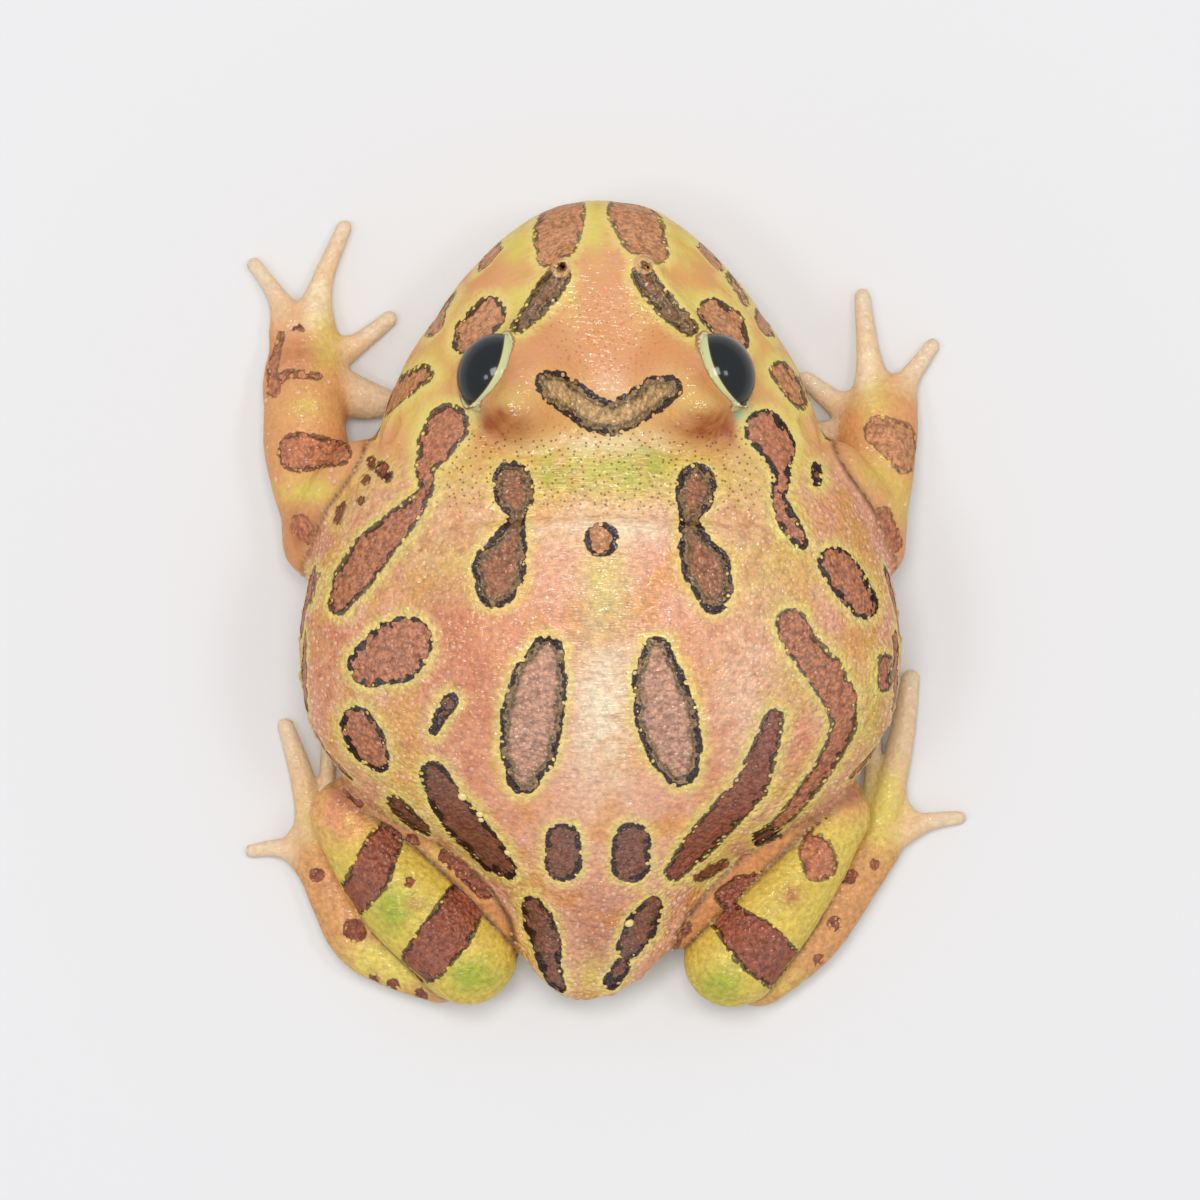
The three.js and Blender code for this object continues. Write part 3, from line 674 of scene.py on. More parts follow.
    def add_eye(self, field: np.ndarray, eye: Eyeball) -> None:
        """Hollows the socket and lays the soft rims of the lids round the eye, in place."""
        centre = eye.centre()
        reach = eye.radius + 4
        cuts, at = self.block(centre - reach, centre + reach)
        off = eye.pressed(at - centre)
        out = off @ eye.gaze(eye.lid_turn)
        round_it = np.sqrt(np.maximum((off * off).sum(-1) - out * out, 0))
        past = eye.past_lids(off, self.head.hood_edge)
        ring_radius = np.sqrt(eye.radius**2 - (out - past) ** 2) + 0.1
        rim = np.hypot(round_it - ring_radius, past) - self.head.lid_rim
        field[cuts] = join(field[cuts], rim, 0.5)
        socket = np.sqrt((off * off).sum(-1)) - eye.radius + 0.25
        field[cuts] = np.maximum(field[cuts], -socket)


@dataclass(frozen=True)
class Stroke:
    """A dark-edged blotch, drawn as a brush stroke on one part of the frog.

    Attributes:
        line: its points in mm, each x, y and the brush's radius. On a flank they are y and z.
        fill: what it is filled with.
        ink: how strong its dark edge is, from 0 to 1.
        halo: how yellow the skin round it is, from 0 to 1.
    """

    line: tuple[tuple[float, float, float], ...]
    fill: Fill = Fill.RUSSET
    ink: float = 1.0
    halo: float = 0.9

    def distance(self, across: np.ndarray, along: np.ndarray) -> np.ndarray:
        """The distance of plan places from the stroke's edge, negative inside."""
        found = np.full(across.shape, 1e3)
        line = self.line if len(self.line) > 1 else self.line * 2
        for (ax, ay, ar), (bx, by, br) in zip(line[:-1], line[1:]):
            dx, dy = bx - ax, by - ay
            share = np.clip(((across - ax) * dx + (along - ay) * dy) / max(dx * dx + dy * dy, 1e-6), 0, 1)
            off = np.hypot(across - ax - share * dx, along - ay - share * dy)
            found = np.minimum(found, off - ar - share * (br - ar))
        return found


TRUNK_STROKES = (
    # Snout, nostrils, cheeks and lips.
    Stroke(((4.5, -48.5, 2.5), (5.4, -45.5, 2.8), (6.4, -43.0, 1.4)), Fill.TAN, 0.65),
    Stroke(((-3.5, -48.5, 2.4), (-5.2, -46.0, 2.8), (-7.0, -43.5, 1.4)), Fill.TAN, 0.65),
    Stroke(((5.0, -40.6, 1.2), (6.4, -38.6, 1.4), (8.2, -36.2, 1.1), (10.2, -34.0, 0.7)), Fill.COPPER, 0.8),
    Stroke(
        ((-5.2, -40.6, 1.1), (-6.4, -38.8, 1.2), (-8.4, -36.4, 1.2), (-11.2, -33.8, 0.8)), Fill.COPPER, 0.8,
    ),
    Stroke(((13.8, -35.8, 1.8), (16.0, -33.2, 1.9), (17.1, -31.9, 1.0)), Fill.TAN, 0.9),
    Stroke(((-14.0, -35.8, 1.6), (-16.0, -34.2, 1.8), (-17.2, -32.2, 1.1)), Fill.TAN, 0.9),
    Stroke(((22.0, -28.2, 1.0), (24.4, -26.8, 1.2), (26.2, -24.8, 0.8), (27.8, -23.0, 0.4)), Fill.TAN, 0.8),
    Stroke(((-22.5, -28.5, 1.1), (-24.0, -26.5, 1.1), (-25.2, -24.5, 0.5)), Fill.TAN, 0.8),
    Stroke(((18.5, -38.5, 0.3), (20.5, -35.0, 0.4)), Fill.TAN, 0.7),
    Stroke(((-16.2, -40.5, 0.3), (-18.2, -37.2, 0.3)), Fill.TAN, 0.7),
    # Brow and middle of the back.
    Stroke(
        (
            (6.4, -26.9, 1.3), (5.2, -26.2, 1.9), (3.3, -24.9, 1.9), (1.0, -23.1, 1.8), (-1.4, -22.5, 1.9),
            (-4.2, -23.8, 1.8), (-6.8, -25.5, 1.9), (-8.6, -26.3, 1.3),
        ),
        Fill.OLIVE, 1.0, 0.15,
    ),
    Stroke(((-0.2, -7.5, 1.8),), Fill.TAN, 1.0, 0.1),
    Stroke(
        (
            (10.9, -14.8, 2.1), (10.6, -13.2, 2.2), (10.2, -10.2, 0.6), (11.5, -6.5, 2.1), (12.5, -3.8, 3.0),
            (12.9, -1.5, 2.2),
        ),
        Fill.COPPER, 1.0, 0.6,
    ),
    Stroke(
        (
            (-12.0, -14.5, 2.1), (-11.8, -13.0, 2.1), (-11.0, -10.0, 0.8), (-11.8, -6.5, 1.8),
            (-13.2, -4.0, 2.7), (-14.0, -1.5, 2.1), (-14.1, 0.0, 1.4),
        ),
        Fill.COPPER, 1.0, 0.6,
    ),
    Stroke(
        ((6.6, 6.5, 1.8), (7.5, 10.0, 3.1), (8.4, 14.4, 3.6), (8.9, 18.8, 3.2), (9.5, 22.0, 1.8)), Fill.ROSY,
    ),
    Stroke(
        ((-7.0, 6.5, 1.6), (-7.2, 10.0, 2.9), (-8.2, 14.4, 3.6), (-9.2, 18.2, 3.2), (-10.0, 21.0, 1.9)),
        Fill.ROSY,
    ),
    # Rear back and rump.
    Stroke(((4.6, 30.0, 1.9), (4.6, 32.8, 2.0)), Fill.UMBER),
    Stroke(((-4.0, 30.0, 2.0), (-3.8, 32.8, 2.1)), Fill.UMBER),
    Stroke(
        ((8.6, 38.2, 0.9), (7.6, 40.5, 1.6), (6.6, 43.5, 1.5), (6.2, 46.0, 1.0), (5.2, 48.5, 0.6)),
        Fill.UMBER,
    ),
    Stroke(((-6.6, 38.2, 0.9), (-5.2, 40.8, 1.7), (-3.6, 43.4, 1.2)), Fill.UMBER),
    Stroke(((-2.8, 45.8, 0.7), (-1.4, 47.8, 0.7)), Fill.UMBER),
    Stroke(
        ((20.7, 21.8, 1.4), (19.3, 24.6, 1.8), (16.5, 28.5, 2.0), (13.3, 32.0, 1.6), (11.4, 33.8, 0.7)),
        Fill.UMBER,
    ),
    Stroke(((25.8, 25.2, 0.6), (24.5, 26.5, 0.8), (22.0, 28.8, 0.6)), Fill.UMBER, 0.9),
    Stroke(((-12.4, 34.7, 0.4), (-14.0, 33.8, 0.7), (-15.5, 32.9, 0.45)), Fill.BRICK, 0.6),
    Stroke(
        (
            (-21.6, 14.8, 1.0), (-20.5, 18.5, 1.5), (-18.9, 23.1, 1.8), (-15.2, 27.2, 1.8),
            (-11.8, 31.0, 1.6), (-9.2, 34.0, 0.9),
        ),
        Fill.BRICK, 0.85,
    ),
    Stroke(
        (
            (-23.8, 3.1, 1.8), (-25.0, 5.6, 1.8), (-27.8, 8.8, 2.1), (-29.8, 12.1, 1.9), (-30.4, 15.6, 1.4),
            (-29.2, 18.5, 1.2), (-27.5, 21.5, 0.9), (-25.3, 24.5, 0.8), (-22.3, 28.0, 0.7),
        ),
        Fill.RUSSET, 0.8,
    ),
    # Flanks and shoulders.
    Stroke(((28.5, 8.0, 2.5), (25.5, 6.5, 3.6), (24.0, 5.2, 2.9))),
    Stroke(((30.2, 15.5, 1.9), (29.0, 17.8, 2.1), (27.5, 20.0, 1.1))),
    Stroke(((18.6, 12.6, 0.7), (19.8, 14.4, 0.5), (20.6, 16.2, 0.3)), Fill.UMBER),
    Stroke(
        (
            (18.9, -21.8, 2.4), (20.5, -19.2, 2.1), (21.8, -16.5, 1.0), (21.5, -13.5, 0.6),
            (24.5, -10.0, 1.5), (28.2, -6.4, 2.1), (31.0, -2.5, 2.1), (32.4, 0.5, 1.1),
        ),
        Fill.RUSSET, 0.85,
    ),
    Stroke(
        (
            (-20.5, -21.2, 2.2), (-22.2, -19.0, 1.9), (-22.6, -15.8, 0.8), (-22.2, -12.5, 0.6),
            (-23.5, -9.5, 1.0), (-25.0, -7.2, 0.6),
        ),
    ),
    Stroke(((-29.2, -4.5, 1.8), (-31.0, -2.2, 2.0), (-32.8, 0.5, 1.6))),
    Stroke(((-35.5, 7.5, 0.7), (-35.5, 10.5, 0.7)), Fill.RUSSET, 0.8),
    # Dots and streaks.
    Stroke(((27.2, -16.4, 0.6), (26.5, -15.4, 0.5)), Fill.BRICK, 0.8, 0.3),
    Stroke(((28.6, -17.4, 0.35), (28.5, -16.8, 0.3)), Fill.BRICK, 0.7, 0.3),
    Stroke(((29.2, -15.0, 0.4),), Fill.BRICK, 0.7, 0.3),
    Stroke(((29.8, -12.4, 0.3),), Fill.BRICK, 0.7, 0.3),
    Stroke(((32.2, -11.6, 0.4), (32.8, -10.0, 0.4)), Fill.BRICK, 0.5, 0.3),
    Stroke(((-26.9, -16.5, 0.3), (-27.1, -14.8, 0.3)), Fill.BRICK),
    Stroke(((35.5, -3.1, 0.3), (36.4, 0.0, 0.3)), Fill.RUSSET, 0.6),
    Stroke(((-19.9, 29.9, 0.6), (-21.2, 29.0, 0.6)), Fill.UMBER),
)
THIGH_STROKES = (
    Stroke(((18.6, 32.0, 1.3), (16.5, 33.5, 1.5), (14.2, 35.8, 1.5)), Fill.BRICK, 0.7),
    Stroke(((28.3, 28.0, 0.5), (25.0, 30.0, 0.6)), Fill.BRICK, 0.5),
    Stroke(((23.6, 30.3, 0.8),), Fill.BRICK, 0.5),
    Stroke(((31.6, 24.0, 0.5), (30.3, 25.3, 0.6)), Fill.BRICK, 0.5),
    Stroke(((-15.8, 37.2, 1.2), (-17.6, 36.0, 1.3), (-20.0, 34.8, 0.6)), Fill.BRICK, 0.7),
    Stroke(((-11.5, 34.6, 0.7), (-15.2, 32.3, 0.8)), Fill.UMBER, 0.8),
    Stroke(((-19.7, 30.0, 0.7), (-22.0, 29.0, 0.8)), Fill.UMBER, 0.7),
    Stroke(((-9.8, 38.5, 0.8),), Fill.UMBER, 0.7),
    Stroke(((-8.4, 43.6, 0.9), (-10.5, 41.0, 0.9)), Fill.BRICK, 0.2),
)
SHANK_STROKES = (
    Stroke(((27.0, 30.4, 2.0), (28.8, 34.5, 2.4), (31.0, 37.5, 2.0)), Fill.BRICK, 0.8),
    Stroke(((17.0, 38.0, 2.5), (19.0, 41.5, 2.9), (22.0, 45.2, 2.6)), Fill.BRICK, 0.8),
    Stroke(((23.7, 35.2, 0.6),), Fill.BRICK, 0.2),
    Stroke(((-27.0, 31.4, 2.0), (-27.6, 33.0, 2.1)), Fill.RUSSET, 0.6),
    Stroke(((-25.8, 30.0, 0.4), (-26.5, 28.0, 0.3), (-28.0, 27.0, 0.3)), Fill.BRICK, 0.6),
    Stroke(((-15.8, 39.8, 1.9), (-19.5, 43.2, 3.1), (-22.6, 46.0, 2.8)), Fill.BRICK, 0.8),
)
FOOT_STROKES = (
    Stroke(((35.5, 34.5, 0.8),), Fill.BRICK, 0.4),
    Stroke(((30.8, 41.5, 1.4),), Fill.BRICK, 0.3),
    Stroke(((26.0, 48.4, 0.6),), Fill.BRICK, 0.5),
    Stroke(((28.4, 47.6, 0.5),), Fill.BRICK, 0.5),
    Stroke(((22.5, 49.6, 0.7),), Fill.BRICK, 0.5),
    Stroke(((-31.2, 34.8, 0.9),), Fill.BRICK, 0.3),
    Stroke(((-34.5, 33.2, 0.6),), Fill.BRICK, 0.3),
    Stroke(((-29.5, 40.7, 0.8),), Fill.BRICK, 0.4),
    Stroke(((-27.5, 45.2, 0.6),), Fill.BRICK, 0.3),
)
ARM_STROKES = (
    Stroke(((37.9, -18.5, 2.3), (35.6, -18.6, 2.0), (32.6, -18.3, 1.3)), Fill.RUSSET, 0.7),
    Stroke(((40.0, -34.4, 0.3), (37.4, -34.2, 0.25)), Fill.RUSSET, 0.6),
    Stroke(
        ((39.9, -34.2, 0.3), (40.4, -31.8, 0.35), (41.1, -29.6, 0.6), (41.0, -26.2, 0.6)), Fill.RUSSET, 0.5,
    ),
    Stroke(((40.8, -27.6, 0.6), (39.0, -28.5, 0.3), (35.2, -28.1, 0.25)), Fill.RUSSET, 0.6),
    Stroke(((37.5, -9.5, 1.1), (36.0, -7.5, 0.9)), Fill.RUSSET, 0.3),
    Stroke(((-35.0, -21.2, 1.8), (-37.2, -20.2, 2.4), (-38.2, -17.8, 1.7)), Fill.TAN, 0.5),
    Stroke(((-35.4, -10.4, 1.1), (-36.4, -7.2, 1.3)), Fill.RUSSET, 0.5),
)
# Large pale glands that break the inner edge of the rear stripes, as x, y and how far a group spreads.
PEARL_GROUPS = (
    (16.8, 23.8, 0.7), (15.6, 26.7, 0.8), (13.2, 28.8, 0.6), (12.0, 31.0, 0.7), (10.1, 33.7, 0.5),
    (8.0, 37.4, 0.6), (6.0, 40.8, 0.6), (5.6, 42.8, 0.5), (5.6, 45.0, 0.5), (32.2, 2.6, 0.5),
    (34.9, 7.4, 0.4), (-17.2, 24.0, 0.8), (-16.0, 25.4, 0.8), (-11.2, 31.6, 0.6), (-14.4, 27.4, 0.8),
    (-12.4, 30.2, 0.8), (27.4, -4.4, 0.6), (29.8, 0.8, 0.5), (-26.2, 5.2, 0.5), (-29.0, 8.4, 0.5),
    (-3.6, 40.6, 0.5),
)
# Bars of the lips and blotches of the lower flanks, alike on both sides, as y and z.
FLANK_STROKES = (
    Stroke(((-44.0, 13.5, 0.8), (-42.6, 18.0, 1.3), (-41.5, 21.0, 0.7)), Fill.TAN, 0.7),
    Stroke(((-35.5, 12.0, 1.0), (-34.6, 16.5, 1.5), (-34.0, 20.0, 0.8)), Fill.TAN, 0.7),
    Stroke(((-27.6, 11.4, 1.2), (-26.4, 15.0, 1.4)), Fill.TAN, 0.7),
    Stroke(((-20.0, 13.6, 1.4), (-18.6, 16.4, 1.0)), Fill.RUSSET, 0.8),
    Stroke(((-2.5, 19.5, 1.5), (2.5, 17.4, 2.0)), Fill.RUSSET, 0.9),
    Stroke(((5.0, 21.2, 0.9), (8.0, 20.4, 1.4), (12.0, 18.0, 1.7)), Fill.RUSSET, 0.9),
    Stroke(((17.5, 15.4, 1.6), (21.0, 18.2, 1.3)), Fill.RUSSET, 0.9),
    Stroke(((-8.5, 8.5, 1.2), (-6.0, 6.4, 0.9)), Fill.RUSSET, 0.7),
    Stroke(((4.0, 7.2, 1.4), (7.4, 8.8, 1.0)), Fill.RUSSET, 0.7),
    Stroke(((14.0, 6.6, 1.3),), Fill.RUSSET, 0.7),
)


@dataclass(frozen=True)
class Tint:
    """A soft regional tint in plan.

    Attributes:
        place: x and y of its middle, in mm.
        size: how far it spreads each way.
        strength: from 0 to 1.
        parts: the parts of the body it keeps to.
    """

    place: tuple[float, float]
    size: tuple[float, float]
    strength: float
    parts: tuple[Part, ...] = (Part.TRUNK,)


ARMS = (Part.ARM, Part.DIGIT)
FEET = (Part.FOOT, Part.DIGIT)
TINTS: dict[Tone, tuple[Tint, ...]] = {
    Tone.ROSE: (
        Tint((15.5, 4.0), (7.0, 9.0), 0.95),
        Tint((-17.0, 5.0), (7.0, 9.0), 0.6),
        Tint((14.0, 22.0), (5.0, 8.0), 0.6),
        Tint((-14.5, 20.0), (4.0, 8.0), 0.7),
        Tint((-24.6, 17.6), (2.2, 4.6), 0.75),
        Tint((33.5, 5.0), (2.6, 8.0), 0.6),
        Tint((15.4, 13.7), (4.0, 5.0), 0.85),
        Tint((33.0, 26.6), (4.6, 3.4), 0.9, (Part.SHANK, Part.THIGH)),
        Tint((-32.0, 25.6), (4.0, 2.4), 0.6, (Part.SHANK, Part.THIGH)),
    ),
    Tone.YELLOW: (
        Tint((-0.5, -16.5), (15.0, 4.6), 0.85),
        Tint((17.5, -15.0), (4.6, 4.0), 0.38),
        Tint((-18.4, -14.6), (4.4, 4.6), 0.45),
        Tint((-0.5, -1.0), (2.8, 7.0), 0.62),
        Tint((0.7, -47.5), (1.8, 4.4), 0.95),
        Tint((10.4, -45.0), (2.2, 3.4), 1.0),
        Tint((-10.8, -45.0), (2.2, 3.4), 1.0),
        Tint((3.8, -37.0), (1.2, 3.6), 0.35),
        Tint((-4.8, -37.0), (1.2, 3.6), 0.35),
        Tint((10.0, -37.4), (2.0, 2.0), 0.9),
        Tint((-10.6, -37.4), (2.0, 2.0), 0.9),
        Tint((12.6, -33.6), (1.8, 2.6), 0.7),
        Tint((-13.2, -33.6), (1.8, 2.6), 0.7),
        Tint((20.4, -29.6), (2.6, 4.0), 0.55),
        Tint((-20.8, -29.6), (2.6, 4.0), 0.55),
        Tint((22.4, -22.4), (1.8, 4.4), 0.7),
        Tint((-24.2, -20.4), (1.8, 4.8), 0.75),
        Tint((11.0, -24.6), (2.6, 2.2), 0.6),
        Tint((-12.2, -24.2), (2.6, 2.2), 0.6),
        Tint((18.0, -5.0), (7.0, 5.0), 0.45),
        Tint((-20.5, -4.0), (5.5, 6.0), 0.52),
        Tint((30.0, 11.5), (2.4, 6.0), 0.28),
        Tint((-24.6, 10.0), (2.4, 4.0), 0.3),
        Tint((-34.0, 14.0), (1.6, 8.0), 0.7),
        Tint((26.0, 21.4), (2.6, 3.6), 0.3),
        Tint((20.7, 33.0), (2.6, 2.4), 0.5, (Part.THIGH,)),
        Tint((1.0, 47.0), (1.8, 3.0), 0.8),
        Tint((9.8, 36.0), (1.6, 3.0), 0.4),
        Tint((26.0, 45.4), (6.0, 3.4), 1.0, (Part.FOOT,)),
        Tint((-22.0, 48.0), (4.0, 2.4), 0.5, (Part.FOOT,)),
        Tint((-35.0, 25.4), (3.4, 5.4), 0.95, FEET),
        Tint((35.0, 27.6), (2.6, 3.4), 0.6, FEET),
        Tint((36.4, -23.9), (3.0, 1.8), 0.5, ARMS),
        Tint((36.4, -13.8), (3.6, 1.8), 0.9, ARMS),
        Tint((-34.2, -24.6), (2.0, 3.0), 0.6, ARMS),
        Tint((-35.0, -16.0), (3.0, 2.4), 0.6, ARMS),
        Tint((-37.6, -12.2), (1.6, 2.6), 0.6, ARMS),
        Tint((34.4, -34.0), (2.0, 5.0), 0.8, ARMS),
        Tint((-34.2, -26.5), (2.4, 3.0), 0.25, ARMS),
    ),
    Tone.CREAM: (
        Tint((-0.5, 13.0), (4.4, 11.0), 0.8),
        Tint((0.0, -9.0), (13.0, 2.0), 0.55),
        Tint((-18.5, 11.0), (5.0, 10.0), 0.38),
        Tint((-0.6, -26.6), (2.6, 1.8), 0.35),
        Tint((-1.0, -19.4), (8.0, 1.5), 0.55),
        Tint((35.4, -38.0), (2.0, 3.6), 0.7, ARMS),
        Tint((-33.2, -30.0), (1.4, 4.0), 0.7, ARMS),
    ),
    Tone.GREEN: (
        Tint((-4.6, -16.4), (4.2, 2.6), 0.6),
        Tint((4.6, -15.6), (3.6, 2.4), 0.5),
        Tint((-1.0, 1.0), (2.6, 5.0), 0.22),
        Tint((26.0, 38.6), (2.4, 2.8), 0.95, (Part.SHANK,)),
        Tint((15.8, 47.0), (3.0, 2.0), 1.0, (Part.SHANK, Part.FOOT)),
        Tint((-15.0, 48.4), (2.6, 2.4), 0.85, (Part.SHANK, Part.FOOT)),
    ),
    Tone.RUST: (
        Tint((11.4, -28.2), (2.6, 3.4), 0.28),
        Tint((-12.4, -28.0), (2.6, 3.4), 0.28),
        # Painted shade on the steep rear slopes of the upper lids.
        Tint((12.6, -21.8), (4.6, 2.5), 0.75),
        Tint((-13.6, -21.4), (4.6, 2.5), 0.85),
        Tint((0.0, 41.0), (4.0, 6.0), 0.42),
        Tint((0.0, 3.6), (9.0, 4.6), 0.22),
        Tint((19.6, 0.7), (4.0, 4.0), 0.34),
        Tint((16.0, 12.0), (4.0, 6.0), 0.22),
        Tint((-24.0, 37.0), (1.3, 1.3), 0.55, (Part.SHANK,)),
        Tint((23.2, 38.0), (1.0, 0.9), 0.45, (Part.SHANK,)),
        Tint((38.2, -30.8), (3.4, 2.4), 0.4, ARMS),
        Tint((36.0, -8.4), (3.4, 3.0), 0.65, ARMS),
    ),
    Tone.TEAL: (
        Tint((16.0, -23.4), (1.1, 1.0), 1.0),
        Tint((-17.9, -23.0), (1.1, 1.0), 1.0),
    ),
}


@dataclass(frozen=True)
class Pigments:
    """The ground colours, in sRGB.

    Attributes:
        parts: the ground of each part of the body.
        salmon: the pinker patches of the trunk.
        flush: its deeper orange mottling.
        halo: the yellow that spreads from each blotch.
        belly: the underside.
        tip: the clear tips of the digits.
        fold: painted shade, laid in the depth of a fold between two parts.
    """

    parts: tuple[tuple[Part, str], ...] = (
        (Part.TRUNK, "#DD9A60"),
        (Part.ARM, "#DC9E6B"),
        (Part.THIGH, "#D08C58"),
        (Part.SHANK, "#D8C05A"),
        (Part.FOOT, "#D49A66"),
        (Part.DIGIT, "#E6C09A"),
    )
    salmon: str = "#E4A88C"
    flush: str = "#CE8060"
    halo: str = "#E0CE6C"
    belly: str = "#F0E4CE"
    tip: str = "#E4D0BA"
    # A dark brown painted as the shade in the folds where parts of the body meet.
    fold: str = "#4E2216"


def within_box(points: np.ndarray) -> np.ndarray:
    """Keeps points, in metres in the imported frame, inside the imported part's box."""
    low, high = (np.array(corner) for corner in CAD_BOX)
    return np.clip(points, low, high)


class Skin:
    """The one skin over all the flesh."""

    pigments = Pigments()
    pitch = 0.56
    quick_pitch = 0.9
    far = 3.0  # how far a blotch's distance is told, in mm
    nostrils = ((4.9, -41.4), (-5.45, -41.9))

    def __init__(self, shift: Vector) -> None:
        """Takes the place of the frog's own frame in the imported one.

        Args:
            shift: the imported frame's place of the frog's own origin, in mm.
        """
        self.shift = np.array(shift)

    def mesh_points(self) -> tuple[np.ndarray, np.ndarray]:
        """The skin's points, in mm in the frog's own frame, and its quads."""
        pitch = self.pitch
        field = SkinField(pitch)
        values = np.clip(field.build(), -self.far, self.far)
        grid = openvdb.FloatGrid(self.far)
        grid.copyFromArray(values)
        points, quads = grid.convertToQuads(0.0)
        return points * pitch + SkinField.low, quads[:, ::-1].astype(int)

    @staticmethod
    def relax(points: np.ndarray, quads: np.ndarray, rounds: int) -> np.ndarray:
        """Evens out the points along the skin, each towards the mean of its neighbours and back out again."""
        ends = np.concatenate([quads[:, [i, (i + 1) % 4]] for i in range(4)])
        count = np.bincount(ends[:, 0], minlength=len(points))[:, None]
        for factor in (0.5, -0.53) * rounds:
            mean = np.zeros_like(points)
            for axis in range(3):
                mean[:, axis] = np.bincount(ends[:, 0], points[ends[:, 1], axis], len(points))
            points = points + factor * (mean / np.maximum(count, 1) - points)
        return points

    @staticmethod
    def normals(points: np.ndarray, quads: np.ndarray) -> np.ndarray:
        """A unit normal for each point."""
        a, b, c, d = (points[quads[:, i]] for i in range(4))
        face = np.cross(c - a, d - b)
        total = np.zeros_like(points)
        for corner in range(4):
            for axis in range(3):
                total[:, axis] += np.bincount(quads[:, corner], face[:, axis], len(points))
        return total / np.maximum(np.linalg.norm(total, axis=1), 1e-9)[:, None]

    @staticmethod
    def owners(points: np.ndarray) -> np.ndarray:
        """The distance of each point from each part of the body, one row for each part."""
        reach, hull, _, _ = Hull().section(points)
        found = np.full((len(Part), len(points)), 1e3)
        found[Part.TRUNK.value] = (reach - hull) * 0.8 - 0.8
        for limb in LIMBS:
            for part, chain in zip(limb.parts, (limb.upper, limb.lower, limb.end)):
                found[part.value] = np.minimum(found[part.value], chain.distance(points))
            for chain in limb.digits:
                found[Part.DIGIT.value] = np.minimum(found[Part.DIGIT.value], chain.distance(points) + 0.2)
        return found

    def lay_blotches(self, points: np.ndarray, up: np.ndarray, nearest: np.ndarray) -> dict[str, np.ndarray]:
        """Lays every blotch on its own part of the body.

        Args:
            points: the skin's points in mm.
            up: how far their normals point up.
            nearest: the part each one belongs to.

        Returns:
            The distance from the nearest blotch's edge, its colour, ink, embossing and halo, and the pearls.
        """
        x, y, z = points.T
        marks = {name: np.zeros(len(points)) for name in ("ink", "embossed", "halo")}
        marks["blotch"] = np.full(len(points), self.far)
        marks["fill"] = np.ones((len(points), 4)) * srgb(Fill.RUSSET.value)
        top = 6 * step(-up, -0.12, 0.15)
        rounds = (
            (Part.TRUNK, TRUNK_STROKES, (x, y), top),
            (Part.TRUNK, FLANK_STROKES, (y, z), 6 * step(up, 0.3, 0.55)),
            (Part.ARM, ARM_STROKES, (x, y), 2 * top),
            (Part.THIGH, THIGH_STROKES, (x, y), 2 * top),
            (Part.SHANK, SHANK_STROKES, (x, y), 2 * top),
            (Part.FOOT, FOOT_STROKES, (x, y), 2 * top),
        )
        for part, strokes, places, fade in rounds:
            for stroke in strokes:
                off = np.where(nearest == part.value, stroke.distance(*places) + fade, self.far)
                closer = off < marks["blotch"]
                marks["blotch"][closer] = off[closer]
                marks["fill"][closer] = srgb(stroke.fill.value)
                marks["ink"][closer] = stroke.ink
                marks["halo"][closer] = stroke.halo
                marks["embossed"][closer] = stroke.fill.embossed()
        groups = [bell(np.hypot(x - a, y - b), spread) for a, b, spread in PEARL_GROUPS]
        at_edge = bell(marks["blotch"] - 0.15, 0.35) * (nearest == Part.TRUNK.value) * step(up, 0.0, 0.2)
        marks["pearl"] = np.clip(2.4 * np.max(groups, 0) - 0.3, 0, 1) * at_edge
        return marks

    def ground(
        self, points: np.ndarray, up: np.ndarray, owners: np.ndarray, blotch: np.ndarray
    ) -> np.ndarray:
        """The skin's colour between the blotches.

        Args:
            points: the skin's points in mm.
            up: how far their normals point up.
            owners: their distances from the parts of the body.
            blotch: their distances from the nearest blotch.

        Returns:
            One linear colour with alpha for each point.
        """
        x, y, z = points.T
        broad = fractal(points, 7.0, 0.8, 2.2, 3)
        fleck = fractal(points, 1.9, 0.8, 2.2, 2)
        share = np.exp(-(owners - owners.min(0)) / 0.35)
        share /= share.sum(0)
        pigments = self.pigments
        colour = sum(share[part.value][:, None] * np.array(srgb(code)) for part, code in pigments.parts)

        def lay(code: str, weight: np.ndarray) -> None:
            """Lays a colour over the ground."""
            nonlocal colour
            amount = np.clip(weight, 0, 1)[:, None]
            colour = colour * (1 - amount) + np.array(srgb(code)) * amount

        trunk = share[Part.TRUNK.value]
        lay(pigments.salmon, trunk * step(broad, -0.45, 0.1) * (0.3 + 0.7 * step(y, -24, -12)))
        lay(Tone.YELLOW.value, 0.12 * trunk * step(-broad, 0.05, 0.4) * step(np.abs(x), 10, 20))
        uneven = 1.15 + 0.7 * fleck + 0.35 * broad
        for tone, tints in TINTS.items():
            for tint in tints:
                (middle_x, middle_y), (wide, long) = tint.place, tint.size
                near = bell(np.hypot((x - middle_x) / wide, (y - middle_y) / long), 1)
                within = sum(share[part.value] for part in tint.parts)
                lay(tone.value, tint.strength * within * near * uneven * step(up, -0.3, 0.1))
        flushed = step(fleck + 0.5 * broad, 0.0, 0.5) * step(np.abs(x), 6, 14) * step(y, -20, -8)
        lay(pigments.flush, 0.55 * trunk * flushed)
        halo = step(-blotch - 0.6 * fleck - 0.5 * broad, -2.6, -0.9) * step(np.abs(x), 5, 12)
        lay(pigments.halo, 0.2 * halo * trunk)
        lay(pigments.belly, step(-up, -0.05, 0.5) * step(-z, -14, -7))
        digits = [chain for limb in LIMBS for chain in limb.digits]
        tips = np.min([np.linalg.norm(points - np.array(c.points[-1][:3]), axis=1) for c in digits], 0)
        lay(pigments.tip, 0.85 * share[Part.DIGIT.value] * step(-tips, -9.0, -0.5) * (1 + 0.4 * fleck))
        # Painted shade darkens the folds where one part of the body lies against another.
        lay(pigments.fold, 0.9 * self.folds(points, owners))
        return colour

